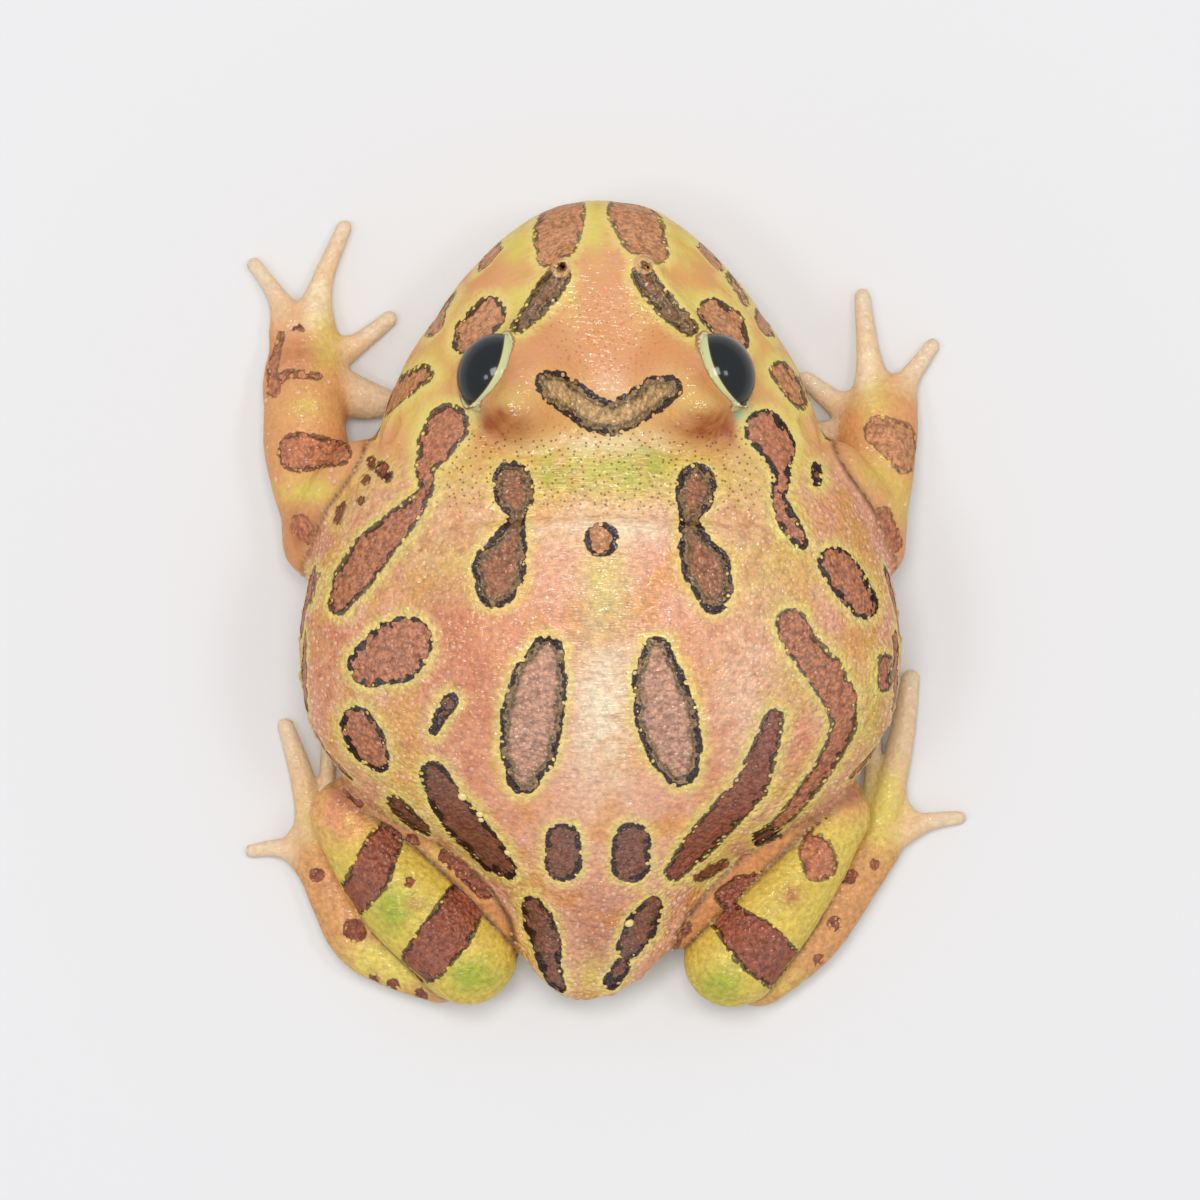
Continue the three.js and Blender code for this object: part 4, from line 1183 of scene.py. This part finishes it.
    @staticmethod
    def folds(points: np.ndarray, owners: np.ndarray) -> np.ndarray:
        """How near each point lies to a fold where one part of the body lies against another, the weight of
        the painted shade there.
        """
        joints = sum(limb.joint_nearness(points, 5.0) for limb in LIMBS)
        body = owners[: Part.DIGIT.value]
        first, second = np.sort(body, 0)[:2]
        arms = 0.45 + 0.55 * (body.argmin(0) != Part.ARM.value)
        at_skin = step(-first, -1.3, -0.6)
        return arms * at_skin * bell(second - first, 0.5) * np.clip(1 - joints, 0, 1)

    def paint(self, points: np.ndarray, normals: np.ndarray) -> dict[str, np.ndarray]:
        """The markings as numbers and colours for each point of the skin.

        Args:
            points: the skin's points in mm.
            normals: their normals.

        Returns:
            Named arrays of numbers, and two of colours.
        """
        x, y, z = points.T
        up = normals[:, 2]
        owners = self.owners(points)
        marks = self.lay_blotches(points, up, owners.argmin(0))
        marks["ground"] = self.ground(points, up, owners, marks["blotch"])
        limbs = owners[Part.ARM.value :].min(0)
        trunk = step(limbs - owners[Part.TRUNK.value], -0.8, 0.8)
        eyes = []
        for eye in EYES:
            off = eye.pressed(points - eye.centre())
            behind = -0.8 * eye.past_lids(off, Head.hood_edge)
            eyes.append(np.maximum(np.linalg.norm(off, axis=1) - eye.radius, behind))
        snout = step(-np.hypot(x + 0.5, y + 34.5), -9, -6) * step(y, -39, -37)
        neck = 0.8 * step(-np.abs(y + 16.0), -6.5, -4.0) * step(-np.abs(x), -23, -18)
        marks["pores"] = trunk * np.maximum(neck, 0.35 * snout)
        marks["eye"] = np.minimum(np.min(eyes, 0), self.far)
        nostrils = [np.hypot(x - a, y - b) for a, b in self.nostrils]
        marks["nostril"] = np.minimum(np.min(nostrils, 0), self.far)
        marks["wet"] = step(up, 0.45, 0.9) * (0.55 + 0.45 * trunk)
        arms = step(owners.min(0) - np.minimum(owners[Part.ARM.value], owners[Part.DIGIT.value]), -0.5, 0.0)
        marks["calm"] = np.maximum(step(-y, 14.0, 22.0) * trunk, 0.55 * arms)
        on_digit = step(-owners[Part.DIGIT.value], -1.2, 0.3)
        marks["smooth"] = np.clip(step(-marks["eye"], -1.0, -0.6) + on_digit, 0, 1)
        off_middle = np.maximum(step(np.abs(x), 9, 24), step(y, 24, 38))
        below_top = step(-z, 0.9 - self.summit(), 2.4 - self.summit())
        marks["rough"] = below_top * trunk * step(y, -22, -6) * (0.2 + 0.8 * off_middle) * step(up, -0.4, 0.1)
        on_arm, on_top = step(-owners[Part.ARM.value], -0.3, 0.0), step(up, 0.1, 0.5)
        marks["warty"] = np.maximum(marks["rough"], 0.3 * on_arm * on_top)
        marks["warty"] *= step(marks["blotch"], 0.3, 0.9)
        marks["halo"] *= trunk * step(up, -0.2, 0.2)
        wet = step(-np.abs(x + 0.5), -9, -4) * step(-np.abs(y - 6), -22, -12)
        nape = step(-np.abs(y + 14), -8, -3) * step(-np.abs(x), -18, -10)
        marks["wrinkled"] = trunk * np.maximum(wet, nape)
        return marks

    def summit(self) -> float:
        """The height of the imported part's top, in mm in the frog's own frame."""
        return CAD_BOX[1][2] / MM - self.shift[2]

    def relief(self, points: np.ndarray, marks: dict[str, np.ndarray]) -> np.ndarray:
        """How far the skin's small swellings stand out, in mm."""
        x, y, _ = points.T
        broad = fractal(points, 5.0, 0.9, 2.1, 2)
        fine = np.array([noise.noise(Vector(p) / 1.2) for p in points])
        cells = np.array([noise.voronoi(Vector(p) / 2.1)[0][0] for p in points])
        domes = np.clip(1 - (cells / 0.36) ** 2, 0, 1) * step(marks["blotch"], 0.2, 0.8)
        edge = bell(marks["blotch"] + 0.75, 0.3) * marks["embossed"] * 0.22
        sunk = step(-marks["blotch"], -0.3, 0.3) * (0.1 + 0.2 * marks["embossed"])
        rays = np.zeros(len(points))
        for tip_x, tip_y in ((6.2, 5.6), (-7.2, 5.4)):
            reach = np.hypot(x - tip_x, y - tip_y)
            angle = np.arctan2(y - tip_y, x - tip_x)
            rays += np.cos(15 * angle + 2 * broad) * bell(reach - 3.6, 1.5) * step(tip_y + 1 - y, 0, 2)
        swell = 0.14 * broad + (0.03 + 0.1 * marks["rough"]) * fine + 0.34 * marks["rough"] * domes
        return (1 - marks["smooth"]) * (swell + edge - sunk + 0.1 * rays)

    def build(self, material: bpy.types.Material) -> bpy.types.Object:
        """Makes the skin's mesh with its marks and finish.

        Args:
            material: the finish of moist skin.

        Returns:
            The skin's object.
        """
        points, quads = self.mesh_points()
        points = self.relax(points, quads, 2)
        normals = self.normals(points, quads)
        if np.einsum("ij,ij->", normals, points - points.mean(0)) < 0:
            quads, normals = quads[:, ::-1], -normals
        marks = self.paint(points, normals)
        points = points + normals * self.relief(points, marks)[:, None]
        placed = within_box((points + self.shift) * MM)
        return make_piece("skin", placed, quads.tolist(), marks, material)


class Nodes:
    """A node tree that is being built."""

    def __init__(self, tree: bpy.types.NodeTree) -> None:
        """Takes the tree."""
        self.tree = tree

    def add(
        self, kind: str, inputs: dict | None = None, out: int | str = 0, **settings: object
    ) -> Socket | None:
        """Adds a node with its settings and links.

        Args:
            kind: the node's type name.
            inputs: sockets by name or number, each with a value or another node's output.
            out: which output to give back.
            **settings: the node's own fields.

        Returns:
            The chosen output, or None where the node has none.
        """
        node = self.tree.nodes.new(kind)
        for name, value in settings.items():
            setattr(node, name, value)
        for name, value in (inputs or {}).items():
            if isinstance(value, Socket):
                self.tree.links.new(value, node.inputs[name])
            else:
                node.inputs[name].default_value = value
        return node.outputs[out] if len(node.outputs) else None

    def stored(self, name: str, out: str = "Fac") -> Socket:
        """A mark that is stored on the piece's points."""
        return self.add("ShaderNodeAttribute", out=out, attribute_name=name)

    def place_in_mm(self) -> Socket:
        """The place on the piece, in mm."""
        return self.scaled(self.add("ShaderNodeTexCoord", out="Object"), 1 / MM)

    def math(self, operation: str, *values: Socket | float) -> Socket:
        """A step of arithmetic between numbers."""
        return self.add("ShaderNodeMath", dict(enumerate(values)), operation=operation)

    def times(self, a: Socket, b: Socket | float) -> Socket:
        """The product of two numbers."""
        return self.math("MULTIPLY", a, b)

    def off(self, value: Socket, middle: float) -> Socket:
        """How far a number is from a middle."""
        return self.math("ABSOLUTE", self.math("SUBTRACT", value, middle))

    def ramp(self, value: Socket, start: float, end: float, low: float = 0.0, high: float = 1.0) -> Socket:
        """A straight change from low at start to high at end."""
        return self.add("ShaderNodeMapRange", {0: value, 1: start, 2: end, 3: low, 4: high})

    def rise(self, value: Socket, start: float, end: float, low: float = 0.0, high: float = 1.0) -> Socket:
        """A smooth change from low at start to high at end."""
        inputs = {0: value, 1: start, 2: end, 3: low, 4: high}
        return self.add("ShaderNodeMapRange", inputs, interpolation_type="SMOOTHSTEP")

    def scaled(self, vector: Socket, size: Socket | float) -> Socket:
        """A place or a colour times a number."""
        return self.add("ShaderNodeVectorMath", {0: vector, "Scale": size}, operation="SCALE")

    def spread(self, vector: Socket, sizes: tuple[float, float, float]) -> Socket:
        """A place or a colour with each of its numbers scaled."""
        return self.add("ShaderNodeVectorMath", {0: vector, 1: sizes}, operation="MULTIPLY")

    def noise(self, place: Socket, scale: float, detail: float, roughness: float = 0.5) -> Socket:
        """Smooth noise of so many waves to the mm."""
        inputs = {"Vector": place, "Scale": scale, "Detail": detail, "Roughness": roughness}
        return self.add("ShaderNodeTexNoise", inputs)

    def cells(self, place: Socket, size: float, **settings: object) -> Socket:
        """The distance from the middles of irregular cells of a size in mm, in cells."""
        return self.add("ShaderNodeTexVoronoi", {"Vector": place, "Scale": 1 / size}, **settings)

    def laid(self, under: Socket | str, over: Socket | str, share: Socket | float) -> Socket:
        """One colour laid over another by a share, each a socket or an sRGB code."""
        a, b = (srgb(colour) if isinstance(colour, str) else colour for colour in (under, over))
        return self.add("ShaderNodeMix", {0: share, 6: a, 7: b}, out=2, data_type="RGBA")


@dataclass(frozen=True)
class Finish:
    """A procedural material.

    Attributes:
        name: the real material's name.
    """

    name: str

    def surface(self, nodes: Nodes) -> dict[str, object]:
        """The inputs of the material's shader."""
        raise NotImplementedError

    def build(self) -> bpy.types.Material:
        """Makes the material."""
        material = bpy.data.materials.new(self.name)
        material.use_nodes = True
        material.node_tree.nodes.clear()
        nodes = Nodes(material.node_tree)
        shader = nodes.add("ShaderNodeBsdfPrincipled", self.surface(nodes))
        nodes.add("ShaderNodeOutputMaterial", {"Surface": shader})
        return material


@dataclass(frozen=True)
class MoistSkin(Finish):
    """Living amphibian skin: thin, wet and granular, with pigment under a clear film of slime.

    Attributes:
        notch: the size of the notches in a blotch's dark edge, in mm.
        mottle: the size of the mottling inside the colours, in mm.
        grain: the size of the skin's granules, in mm, which break the highlights into glints.
        pore: the spacing of the dark pores on snout and neck, and of the glands along an edge, in mm.
        relief: how deep granules and wrinkles are, in mm.
        film: how deep the swells of the slime's film are, in mm.
        warmth: what the film leaves of red, green and blue.
    """

    name: str = "moist_frog_skin"
    notch: float = 0.6
    mottle: float = 0.75
    grain: float = 0.6
    pore: float = 1.05
    relief: float = 0.4
    film: float = 0.6
    warmth: tuple[float, float, float] = (0.97, 0.93, 0.83)
    dark: str = "#2E120C"
    halo: str = "#E8D67C"
    pore_dark: str = "#7A4526"
    lid_line: str = "#B27C48"
    olive: str = "#866A3C"
    rim: str = "#E2E3B4"
    ring: str = "#DDAE74"
    # The dark painted as the shade inside each nostril's opening.
    nostril_shade: str = "#7A4630"

    def surface(self, nodes: Nodes) -> dict[str, object]:
        """The inputs of the shader, from the marks stored on the skin.

        Args:
            nodes: the material's tree.

        Returns:
            The inputs by name.
        """
        rise, times, laid = nodes.rise, nodes.times, nodes.laid
        place = nodes.place_in_mm()
        colours = ("blotch", "ink", "embossed", "halo", "pores", "eye", "nostril", "calm")
        textures = ("wet", "wrinkled", "rough")
        mark = {name: nodes.stored(name) for name in colours + textures}
        waves = nodes.noise(place, 0.6, 2.0)
        edge = self.edge(nodes, place, waves, mark["blotch"])
        inside = rise(edge, 0.07, -0.07)
        # The ink of the edge swells and thins, as on the living animal.
        width = times(nodes.ramp(waves, 0.38, 0.6, 0.05, 0.46), mark["ink"])
        line = times(rise(nodes.math("SUBTRACT", width, nodes.off(edge, 0.0)), -0.07, 0.07), mark["ink"])
        # A bright yellow band, brightest against the ink, sets each blotch off from the orange.
        band = times(rise(edge, 1.9, 0.2, high=0.95), mark["halo"])
        ground = laid(nodes.stored("ground", "Color"), self.halo, band)
        # Fine pale and dark flecks keep any stretch of skin from looking painted.
        fine = nodes.noise(place, 1 / self.mottle, 3.0, 0.68)
        fleck = nodes.ramp(fine, 0.28, 0.72, 0.74, 1.4)
        fleck = nodes.add("ShaderNodeMix", {0: mark["calm"], 2: fleck, 3: 1.08}, data_type="FLOAT")
        ground = nodes.spread(nodes.scaled(ground, fleck), self.warmth)
        pits = nodes.cells(place, self.pore, voronoi_dimensions="2D")
        ground = laid(ground, self.pore_dark, times(rise(pits, 0.17, 0.1), mark["pores"]))
        # Inside a blotch the pigment is spotted, and on the back an olive fold runs along the edge.
        olive = times(rise(edge, -1.5, -0.7, high=0.8), mark["embossed"])
        fold = times(rise(nodes.off(edge, -0.8), 0.05, 0.28, 0.42, 0.0), mark["embossed"])
        spots = nodes.math("SUBTRACT", nodes.ramp(fine, 0.36, 0.64, 0.6, 1.44), fold)
        fill = nodes.scaled(laid(nodes.stored("fill", "Color"), self.olive, olive), spots)
        colour = laid(laid(ground, fill, inside), self.dark, line)
        # The lids end in a pale soft rim, set off by a thin brown line.
        colour = laid(colour, self.lid_line, rise(mark["eye"], 0.56, 0.42))
        colour = laid(colour, self.rim, rise(mark["eye"], 0.38, 0.28))
        # A pale raised ring stands round each nostril, and painted shade darkens the opening inside it.
        colour = laid(colour, self.ring, rise(nodes.off(mark["nostril"], 1.0), 0.46, 0.16))
        colour = laid(colour, self.nostril_shade, rise(mark["nostril"], 0.62, 0.36))
        height = self.height(nodes, place, line, inside, mark)
        bump = nodes.add("ShaderNodeBump", {"Height": height, "Strength": 1.0, "Distance": self.relief * MM})
        # The film of slime follows the granules, swells between them and shines in short cross streaks.
        film = nodes.noise(nodes.spread(place, (0.7, 1.5, 1.0)), 1.1, 1.5)
        under = nodes.add("ShaderNodeBump", {"Height": height, "Strength": 1.0, "Distance": 0.45 * MM})
        swells = {"Height": film, "Strength": 1.0, "Distance": self.film * MM, "Normal": under}
        return {
            "Base Color": colour,
            "Roughness": nodes.ramp(waves, 0.35, 0.65, 0.3, 0.45),
            "IOR": 1.4,
            "Specular IOR Level": 0.16,
            "Normal": bump,
            "Coat Weight": mark["wet"],
            "Coat Roughness": 0.04,
            "Coat IOR": 1.7,
            "Coat Normal": nodes.add("ShaderNodeBump", swells),
        }

    def edge(self, nodes: Nodes, place: Socket, waves: Socket, blotch: Socket) -> Socket:
        """The distance from a blotch's ragged edge, negative inside.

        Args:
            nodes: the tree.
            place: the place on the skin in mm.
            waves: broad noise.
            blotch: the distance from the smooth edge.

        Returns:
            The distance in mm.
        """
        # Pigment cells end raggedly, so the edge is pushed in and out by two sizes of noise, and round
        # glands of the paler skin bite into it.
        gland = nodes.rise(nodes.cells(place, self.pore), 0.42, 0.12, high=0.6)
        gland = nodes.times(gland, nodes.rise(blotch, -0.75, -0.1))
        edge = nodes.math("MULTIPLY_ADD", nodes.noise(place, 1 / self.notch, 1.0), 0.5, blotch)
        edge = nodes.math("MULTIPLY_ADD", waves, 1.3, edge)
        return nodes.math("ADD", nodes.math("ADD", edge, gland), -1.0)

    def height(
        self, nodes: Nodes, place: Socket, line: Socket, inside: Socket, mark: dict[str, Socket]
    ) -> Socket:
        """The skin's fine relief: round granules, short cross wrinkles and the sunk ink of an edge.

        Args:
            nodes: the tree.
            place: the place on the skin in mm.
            line: how inky the place is.
            inside: whether the place is inside a blotch, where the skin is pebbled.
            mark: the stored weights.

        Returns:
            The height.
        """
        cells = nodes.cells(place, self.grain)
        grains = nodes.times(cells, cells)
        deep = nodes.math("MULTIPLY_ADD", mark["wrinkled"], 0.5, 0.25)
        wrinkles = nodes.times(nodes.noise(nodes.spread(place, (0.45, 2.0, 1.0)), 1.1, 2.0), deep)
        grainy = nodes.math("MULTIPLY_ADD", mark["rough"], -0.5, -0.2)
        height = nodes.math("MULTIPLY_ADD", grains, grainy, wrinkles)
        height = nodes.math("MULTIPLY_ADD", nodes.times(grains, inside), -0.7, height)
        return nodes.math("MULTIPLY_ADD", line, -0.4, height)


@dataclass(frozen=True)
class Gland(Finish):
    """A small gland of thick, pale, shining skin, which takes some of its colour from the skin round it.

    Attributes:
        pale: the colour of its own pigment.
        share: how much of its colour is its own.
    """

    pale: str
    share: float

    def surface(self, nodes: Nodes) -> dict[str, object]:
        """The inputs of the shader."""
        # Each gland is paler than the skin under it, so that the slopes of the body look granular.
        colour = nodes.laid(nodes.stored("ground", "Color"), self.pale, self.share)
        return {"Base Color": colour, "Roughness": 0.3, "Coat Weight": 0.8, "Coat Roughness": 0.1}


@dataclass(frozen=True)
class Board(Finish):
    """A matt white board.

    Attributes:
        colour: its paint.
    """

    name: str = "matt_white_board"
    colour: str = "#E7E7E9"

    def surface(self, nodes: Nodes) -> dict[str, object]:
        """The inputs of the shader."""
        # An even matt white leaves only the frog's own soft shadow on it.
        return {"Base Color": srgb(self.colour), "Roughness": 0.9}


@dataclass(frozen=True)
class Cornea(Finish):
    """A wet eye: near black with a bronze-flecked iris, and a pale lid membrane along its inner side.

    Attributes:
        pupil: half the width and half the height of the lying pupil, in mm.
        dark_from: how far out along the gaze the dark part begins at the corners of the eye, in mm.
        bow: how far back from there it begins at the middle, in mm.
    """

    name: str = "wet_eye"
    pupil: tuple[float, float] = (2.3, 1.35)
    dark_from: float = 1.25
    bow: float = 1.15
    black: str = "#07080A"
    iris: str = "#1E2225"
    fleck: str = "#7D6B4C"
    edge: str = "#4A3A1E"
    membrane: str = "#CDD09A"

    def surface(self, nodes: Nodes) -> dict[str, object]:
        """The inputs of the shader, from where a point lies across, above and along the gaze.

        Args:
            nodes: the material's tree.

        Returns:
            The inputs by name.
        """
        half_width, half_height = self.pupil
        across = nodes.math("DIVIDE", nodes.stored("across"), half_width)
        above = nodes.math("DIVIDE", nodes.stored("above"), half_height)
        flat = nodes.add("ShaderNodeCombineXYZ", {0: across, 1: above})
        reach = nodes.add("ShaderNodeVectorMath", {0: flat}, out="Value", operation="LENGTH")
        # Bronze flecks ring the pupil and fade into the black of the iris.
        flecks = nodes.noise(nodes.place_in_mm(), 3.2, 5.0, 0.7)
        shown = nodes.times(nodes.rise(flecks, 0.48, 0.66, high=0.7), nodes.rise(reach, 2.2, 1.05))
        colour = nodes.laid(self.iris, self.fleck, shown)
        colour = nodes.laid(colour, self.black, nodes.rise(reach, 1.06, 0.96))
        # The pale membrane begins behind a thin brown edge.
        ahead = nodes.stored("ahead")
        for code, start, end in ((self.edge, 0.0, 0.12), (self.membrane, 0.16, 0.3)):
            colour = nodes.laid(colour, code, nodes.rise(ahead, self.dark_from - start, self.dark_from - end))
        return {
            "Base Color": colour,
            "Roughness": 0.15,
            "IOR": 1.33,
            "Specular IOR Level": 0.4,
            "Coat Weight": 0.3,
            "Coat Roughness": 0.04,
        }


WART_SKIN = Gland("pale_wart_skin", "#EEC8A6", 0.42)
PEARL_SKIN = Gland("pearly_gland_skin", "#EFE08E", 0.9)


class Eyes:
    """The two eyes, each a smooth ball."""

    segments = 64
    rings = 40

    def __init__(self, shift: Vector) -> None:
        """Takes the place of the frog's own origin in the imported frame, in mm."""
        self.shift = np.array(shift)

    def build(self, eye: Eyeball, material: bpy.types.Material) -> bpy.types.Object:
        """Makes one eye.

        Args:
            eye: its place and gaze.
            material: the finish of a wet eye.

        Returns:
            The eye's object.
        """
        gaze = Vector(eye.pupil_axis())
        side = gaze.cross(Vector((0, 0, 1))).normalized()
        top = side.cross(gaze)
        turn = Matrix((side, top, gaze)).transposed()
        tilt = np.repeat(math.pi * np.arange(1, self.rings) / self.rings, self.segments)
        angle = np.tile(2 * math.pi * np.arange(self.segments) / self.segments, self.rings - 1)
        rows = np.stack([np.sin(tilt) * np.cos(angle), np.sin(tilt) * np.sin(angle), np.cos(tilt)], -1)
        front, back, last = len(rows), len(rows) + 1, len(rows) - self.segments
        pairs = [(a, (a + 1) % self.segments) for a in range(self.segments)]
        faces = []
        for row in range(0, last, self.segments):
            below = row + self.segments
            faces += [(row + b, below + b, below + a, row + a) for a, b in pairs]
        for a, b in pairs:
            faces += [(front, b, a), (back, last + a, last + b)]
        local = np.concatenate([rows, [(0, 0, 1), (0, 0, -1)]]) * eye.radius * (eye.long, 1, 1)
        placed = (local @ np.array(turn).T + eye.centre() + self.shift) * MM
        across, above, ahead = local.T
        ahead = ahead + Cornea.bow * (1 - (across / (eye.radius * eye.long)) ** 2)
        marks = {"across": across, "above": above, "ahead": ahead}
        return make_piece(f"ball_{eye.name()}", placed, faces, marks, material)


@dataclass(frozen=True)
class Warts:
    """Small round glands, set by Geometry Nodes over the parts of the skin that a mark names.

    Attributes:
        name: the piece's name.
        mark: the stored weight that says where they are densest.
        per_square_metre: how many there are there.
        smallest: radius of the smallest, in mm.
        largest: radius of the largest, in mm.
        apart: the least distance between two, in mm.
        flat: height over breadth.
        seed: of the scatter.
    """

    name: str
    mark: str
    per_square_metre: float
    smallest: float
    largest: float
    apart: float
    flat: float = 0.62
    seed: int = 7

    def tree(self, material: bpy.types.Material) -> bpy.types.NodeTree:
        """Builds the node tree that sets the warts on the skin.

        Args:
            material: their finish.

        Returns:
            The tree, which gives the warts alone.
        """
        tree = bpy.data.node_groups.new(self.name, "GeometryNodeTree")
        for way in ("INPUT", "OUTPUT"):
            tree.interface.new_socket("Geometry", in_out=way, socket_type="NodeSocketGeometry")
        for name in ("Density", "Smallest", "Largest", "Apart"):
            tree.interface.new_socket(name, in_out="INPUT", socket_type="NodeSocketFloat")
        tree.interface.new_socket("Seed", in_out="INPUT", socket_type="NodeSocketInt")
        add = Nodes(tree).add
        given = tree.nodes.new("NodeGroupInput").outputs
        scatter = {
            "Mesh": given["Geometry"],
            "Distance Min": given["Apart"],
            "Density Max": given["Density"],
            "Density Factor": add("GeometryNodeInputNamedAttribute", {"Name": self.mark}, data_type="FLOAT"),
            "Seed": given["Seed"],
        }
        points = add("GeometryNodeDistributePointsOnFaces", scatter, distribute_method="POISSON")
        dome = add("GeometryNodeMeshUVSphere", {"Segments": 8, "Rings": 5, "Radius": 1.0}, out="Mesh")
        dome = add("GeometryNodeTransform", {"Geometry": dome, "Scale": (1, 1, self.flat)})
        dome = add("GeometryNodeSetShadeSmooth", {"Geometry": dome, "Shade Smooth": True})
        sizes = {2: given["Smallest"], 3: given["Largest"], "Seed": given["Seed"]}
        size = add("FunctionNodeRandomValue", sizes, out=1, data_type="FLOAT")
        turn = points.node.outputs["Rotation"]
        placed = {"Points": points, "Instance": dome, "Rotation": turn, "Scale": size}
        warts = add("GeometryNodeInstanceOnPoints", placed)
        warts = add("GeometryNodeRealizeInstances", {"Geometry": warts})
        warts = add("GeometryNodeSetMaterial", {"Geometry": warts, "Material": material})
        add("NodeGroupOutput", {"Geometry": warts})
        return tree

    def build(self, skin: bpy.types.Object, material: bpy.types.Material) -> bpy.types.Object:
        """Sets the warts on the skin.

        Args:
            skin: the skin, with its stored roughness.
            material: the finish of the warts.

        Returns:
            The warts, as one plain mesh.
        """
        carrier = link(f"{self.name}_carrier", skin.data.copy())
        modifier = carrier.modifiers.new(self.name, "NODES")
        modifier.node_group = self.tree(material)
        values = {
            "Density": self.per_square_metre,
            "Smallest": self.smallest * MM,
            "Largest": self.largest * MM,
            "Apart": self.apart * MM,
            "Seed": self.seed,
        }
        for item in modifier.node_group.interface.items_tree:
            if item.in_out == "INPUT" and item.name in values:
                modifier[item.identifier] = values[item.name]
        graph = bpy.context.evaluated_depsgraph_get()
        mesh = bpy.data.meshes.new_from_object(carrier.evaluated_get(graph), depsgraph=graph)
        carrier.modifiers.remove(modifier)
        bpy.data.objects.remove(carrier)
        mesh.name = self.name
        points = np.empty(3 * len(mesh.vertices), np.float32)
        mesh.vertices.foreach_get("co", points)
        mesh.vertices.foreach_set("co", within_box(points.reshape(-1, 3)).astype(np.float32).ravel())
        mesh.update()
        return link(self.name, mesh)


WARTS = Warts("warts", "warty", 520000, 0.16, 0.4, 0.85, 0.5)
PEARLS = Warts("pearls", "pearl", 5000000, 0.4, 0.7, 1.1, 0.7, 3)


@dataclass(frozen=True)
class Studio:
    """The plain pale floor, the soft light and the camera straight overhead.

    Attributes:
        field: the breadth that the picture shows, in mm.
        height: of the camera over the floor, in metres.
        level: the height in mm at which the picture shows that breadth.
        floor: half the size of the floor, in metres.
    """

    field: float = 150.0
    height: float = 2.5
    level: float = 18.0
    floor: float = 3.0
    sensor: float = 36.0

    def build(self, shift: Vector) -> None:
        """Sets up floor, light and camera.

        Args:
            shift: the place of the frog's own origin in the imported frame, in mm.
        """
        scene = bpy.context.scene
        scene.view_settings.view_transform = "Standard"
        self.lay_floor()
        world = bpy.data.worlds.new("studio")
        scene.world = world
        world.use_nodes = True
        background = world.node_tree.nodes["Background"]
        background.inputs["Color"].default_value = srgb("#FFFFFF")
        background.inputs["Strength"].default_value = 0.58
        self.hang_light("overhead", (0.05, -0.15, 1.15), 0.36, 4.8)
        self.hang_light("left", (0.46, 0.1, 1.05), 0.2, 1.1)
        self.hang_light("right", (-0.46, -0.1, 1.05), 0.2, 1.1)
        camera = link("camera", bpy.data.cameras.new("camera"))
        camera.data.sensor_width = self.sensor
        camera.data.lens = self.sensor * (self.height - self.level * MM) / (self.field * MM)
        camera.data.clip_start = 0.1
        camera.data.clip_end = 50
        camera.location = (shift.x * MM, shift.y * MM, self.height)
        camera.rotation_euler = (0, 0, math.pi)
        scene.camera = camera

    def lay_floor(self) -> None:
        """Lays the floor, a matt white board."""
        half = self.floor
        mesh = bpy.data.meshes.new("floor")
        corners = [(-half, -half, 0), (half, -half, 0), (half, half, 0), (-half, half, 0)]
        mesh.from_pydata(corners, [], [(0, 1, 2, 3)])
        mesh.materials.append(Board().build())
        floor = link("floor", mesh)

    @staticmethod
    def hang_light(name: str, place: tuple[float, float, float], size: float, power: float) -> None:
        """Hangs a square softbox that looks at the frog.

        Args:
            name: its name.
            place: where, in metres.
            size: of its face, in metres.
            power: in watts.
        """
        light = bpy.data.lights.new(name, "AREA")
        light.size = size
        light.energy = power
        lamp = link(name, light)
        lamp.location = place
        lamp.rotation_euler = Vector(place).to_track_quat("Z", "Y").to_euler()


def own_origin() -> Vector:
    """Where the frog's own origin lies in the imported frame, in mm, from the left eye's box."""
    low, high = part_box(EYES[0].name())
    return (low + high) / 2 / MM - Vector(EYES[0].centre())


def main() -> None:
    """Builds the frog and the studio."""
    logging.basicConfig(level=logging.INFO, format="%(name)s: %(message)s")
    shift = own_origin()
    log.info("own origin at %s mm", [round(v, 3) for v in shift])
    flesh = MoistSkin().build()
    skin = Skin(shift).build(flesh)
    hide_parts(*[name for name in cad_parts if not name.startswith("eye_")])
    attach(skin, "root")
    log.info("skin: %d faces", len(skin.data.polygons))
    for glands, finish in ((WARTS, WART_SKIN.build()), (PEARLS, PEARL_SKIN.build())):
        piece = glands.build(skin, finish)
        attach(piece, "root")
        log.info("%s: %d faces", piece.name, len(piece.data.polygons))
    wet = Cornea().build()
    for eye in EYES:
        ball = Eyes(shift).build(eye, wet)
        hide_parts(eye.name())
        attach(ball, "root")
        log.info("%s: %d faces", ball.name, len(ball.data.polygons))
    Studio().build(shift)


if __name__ == "__main__":
    main()
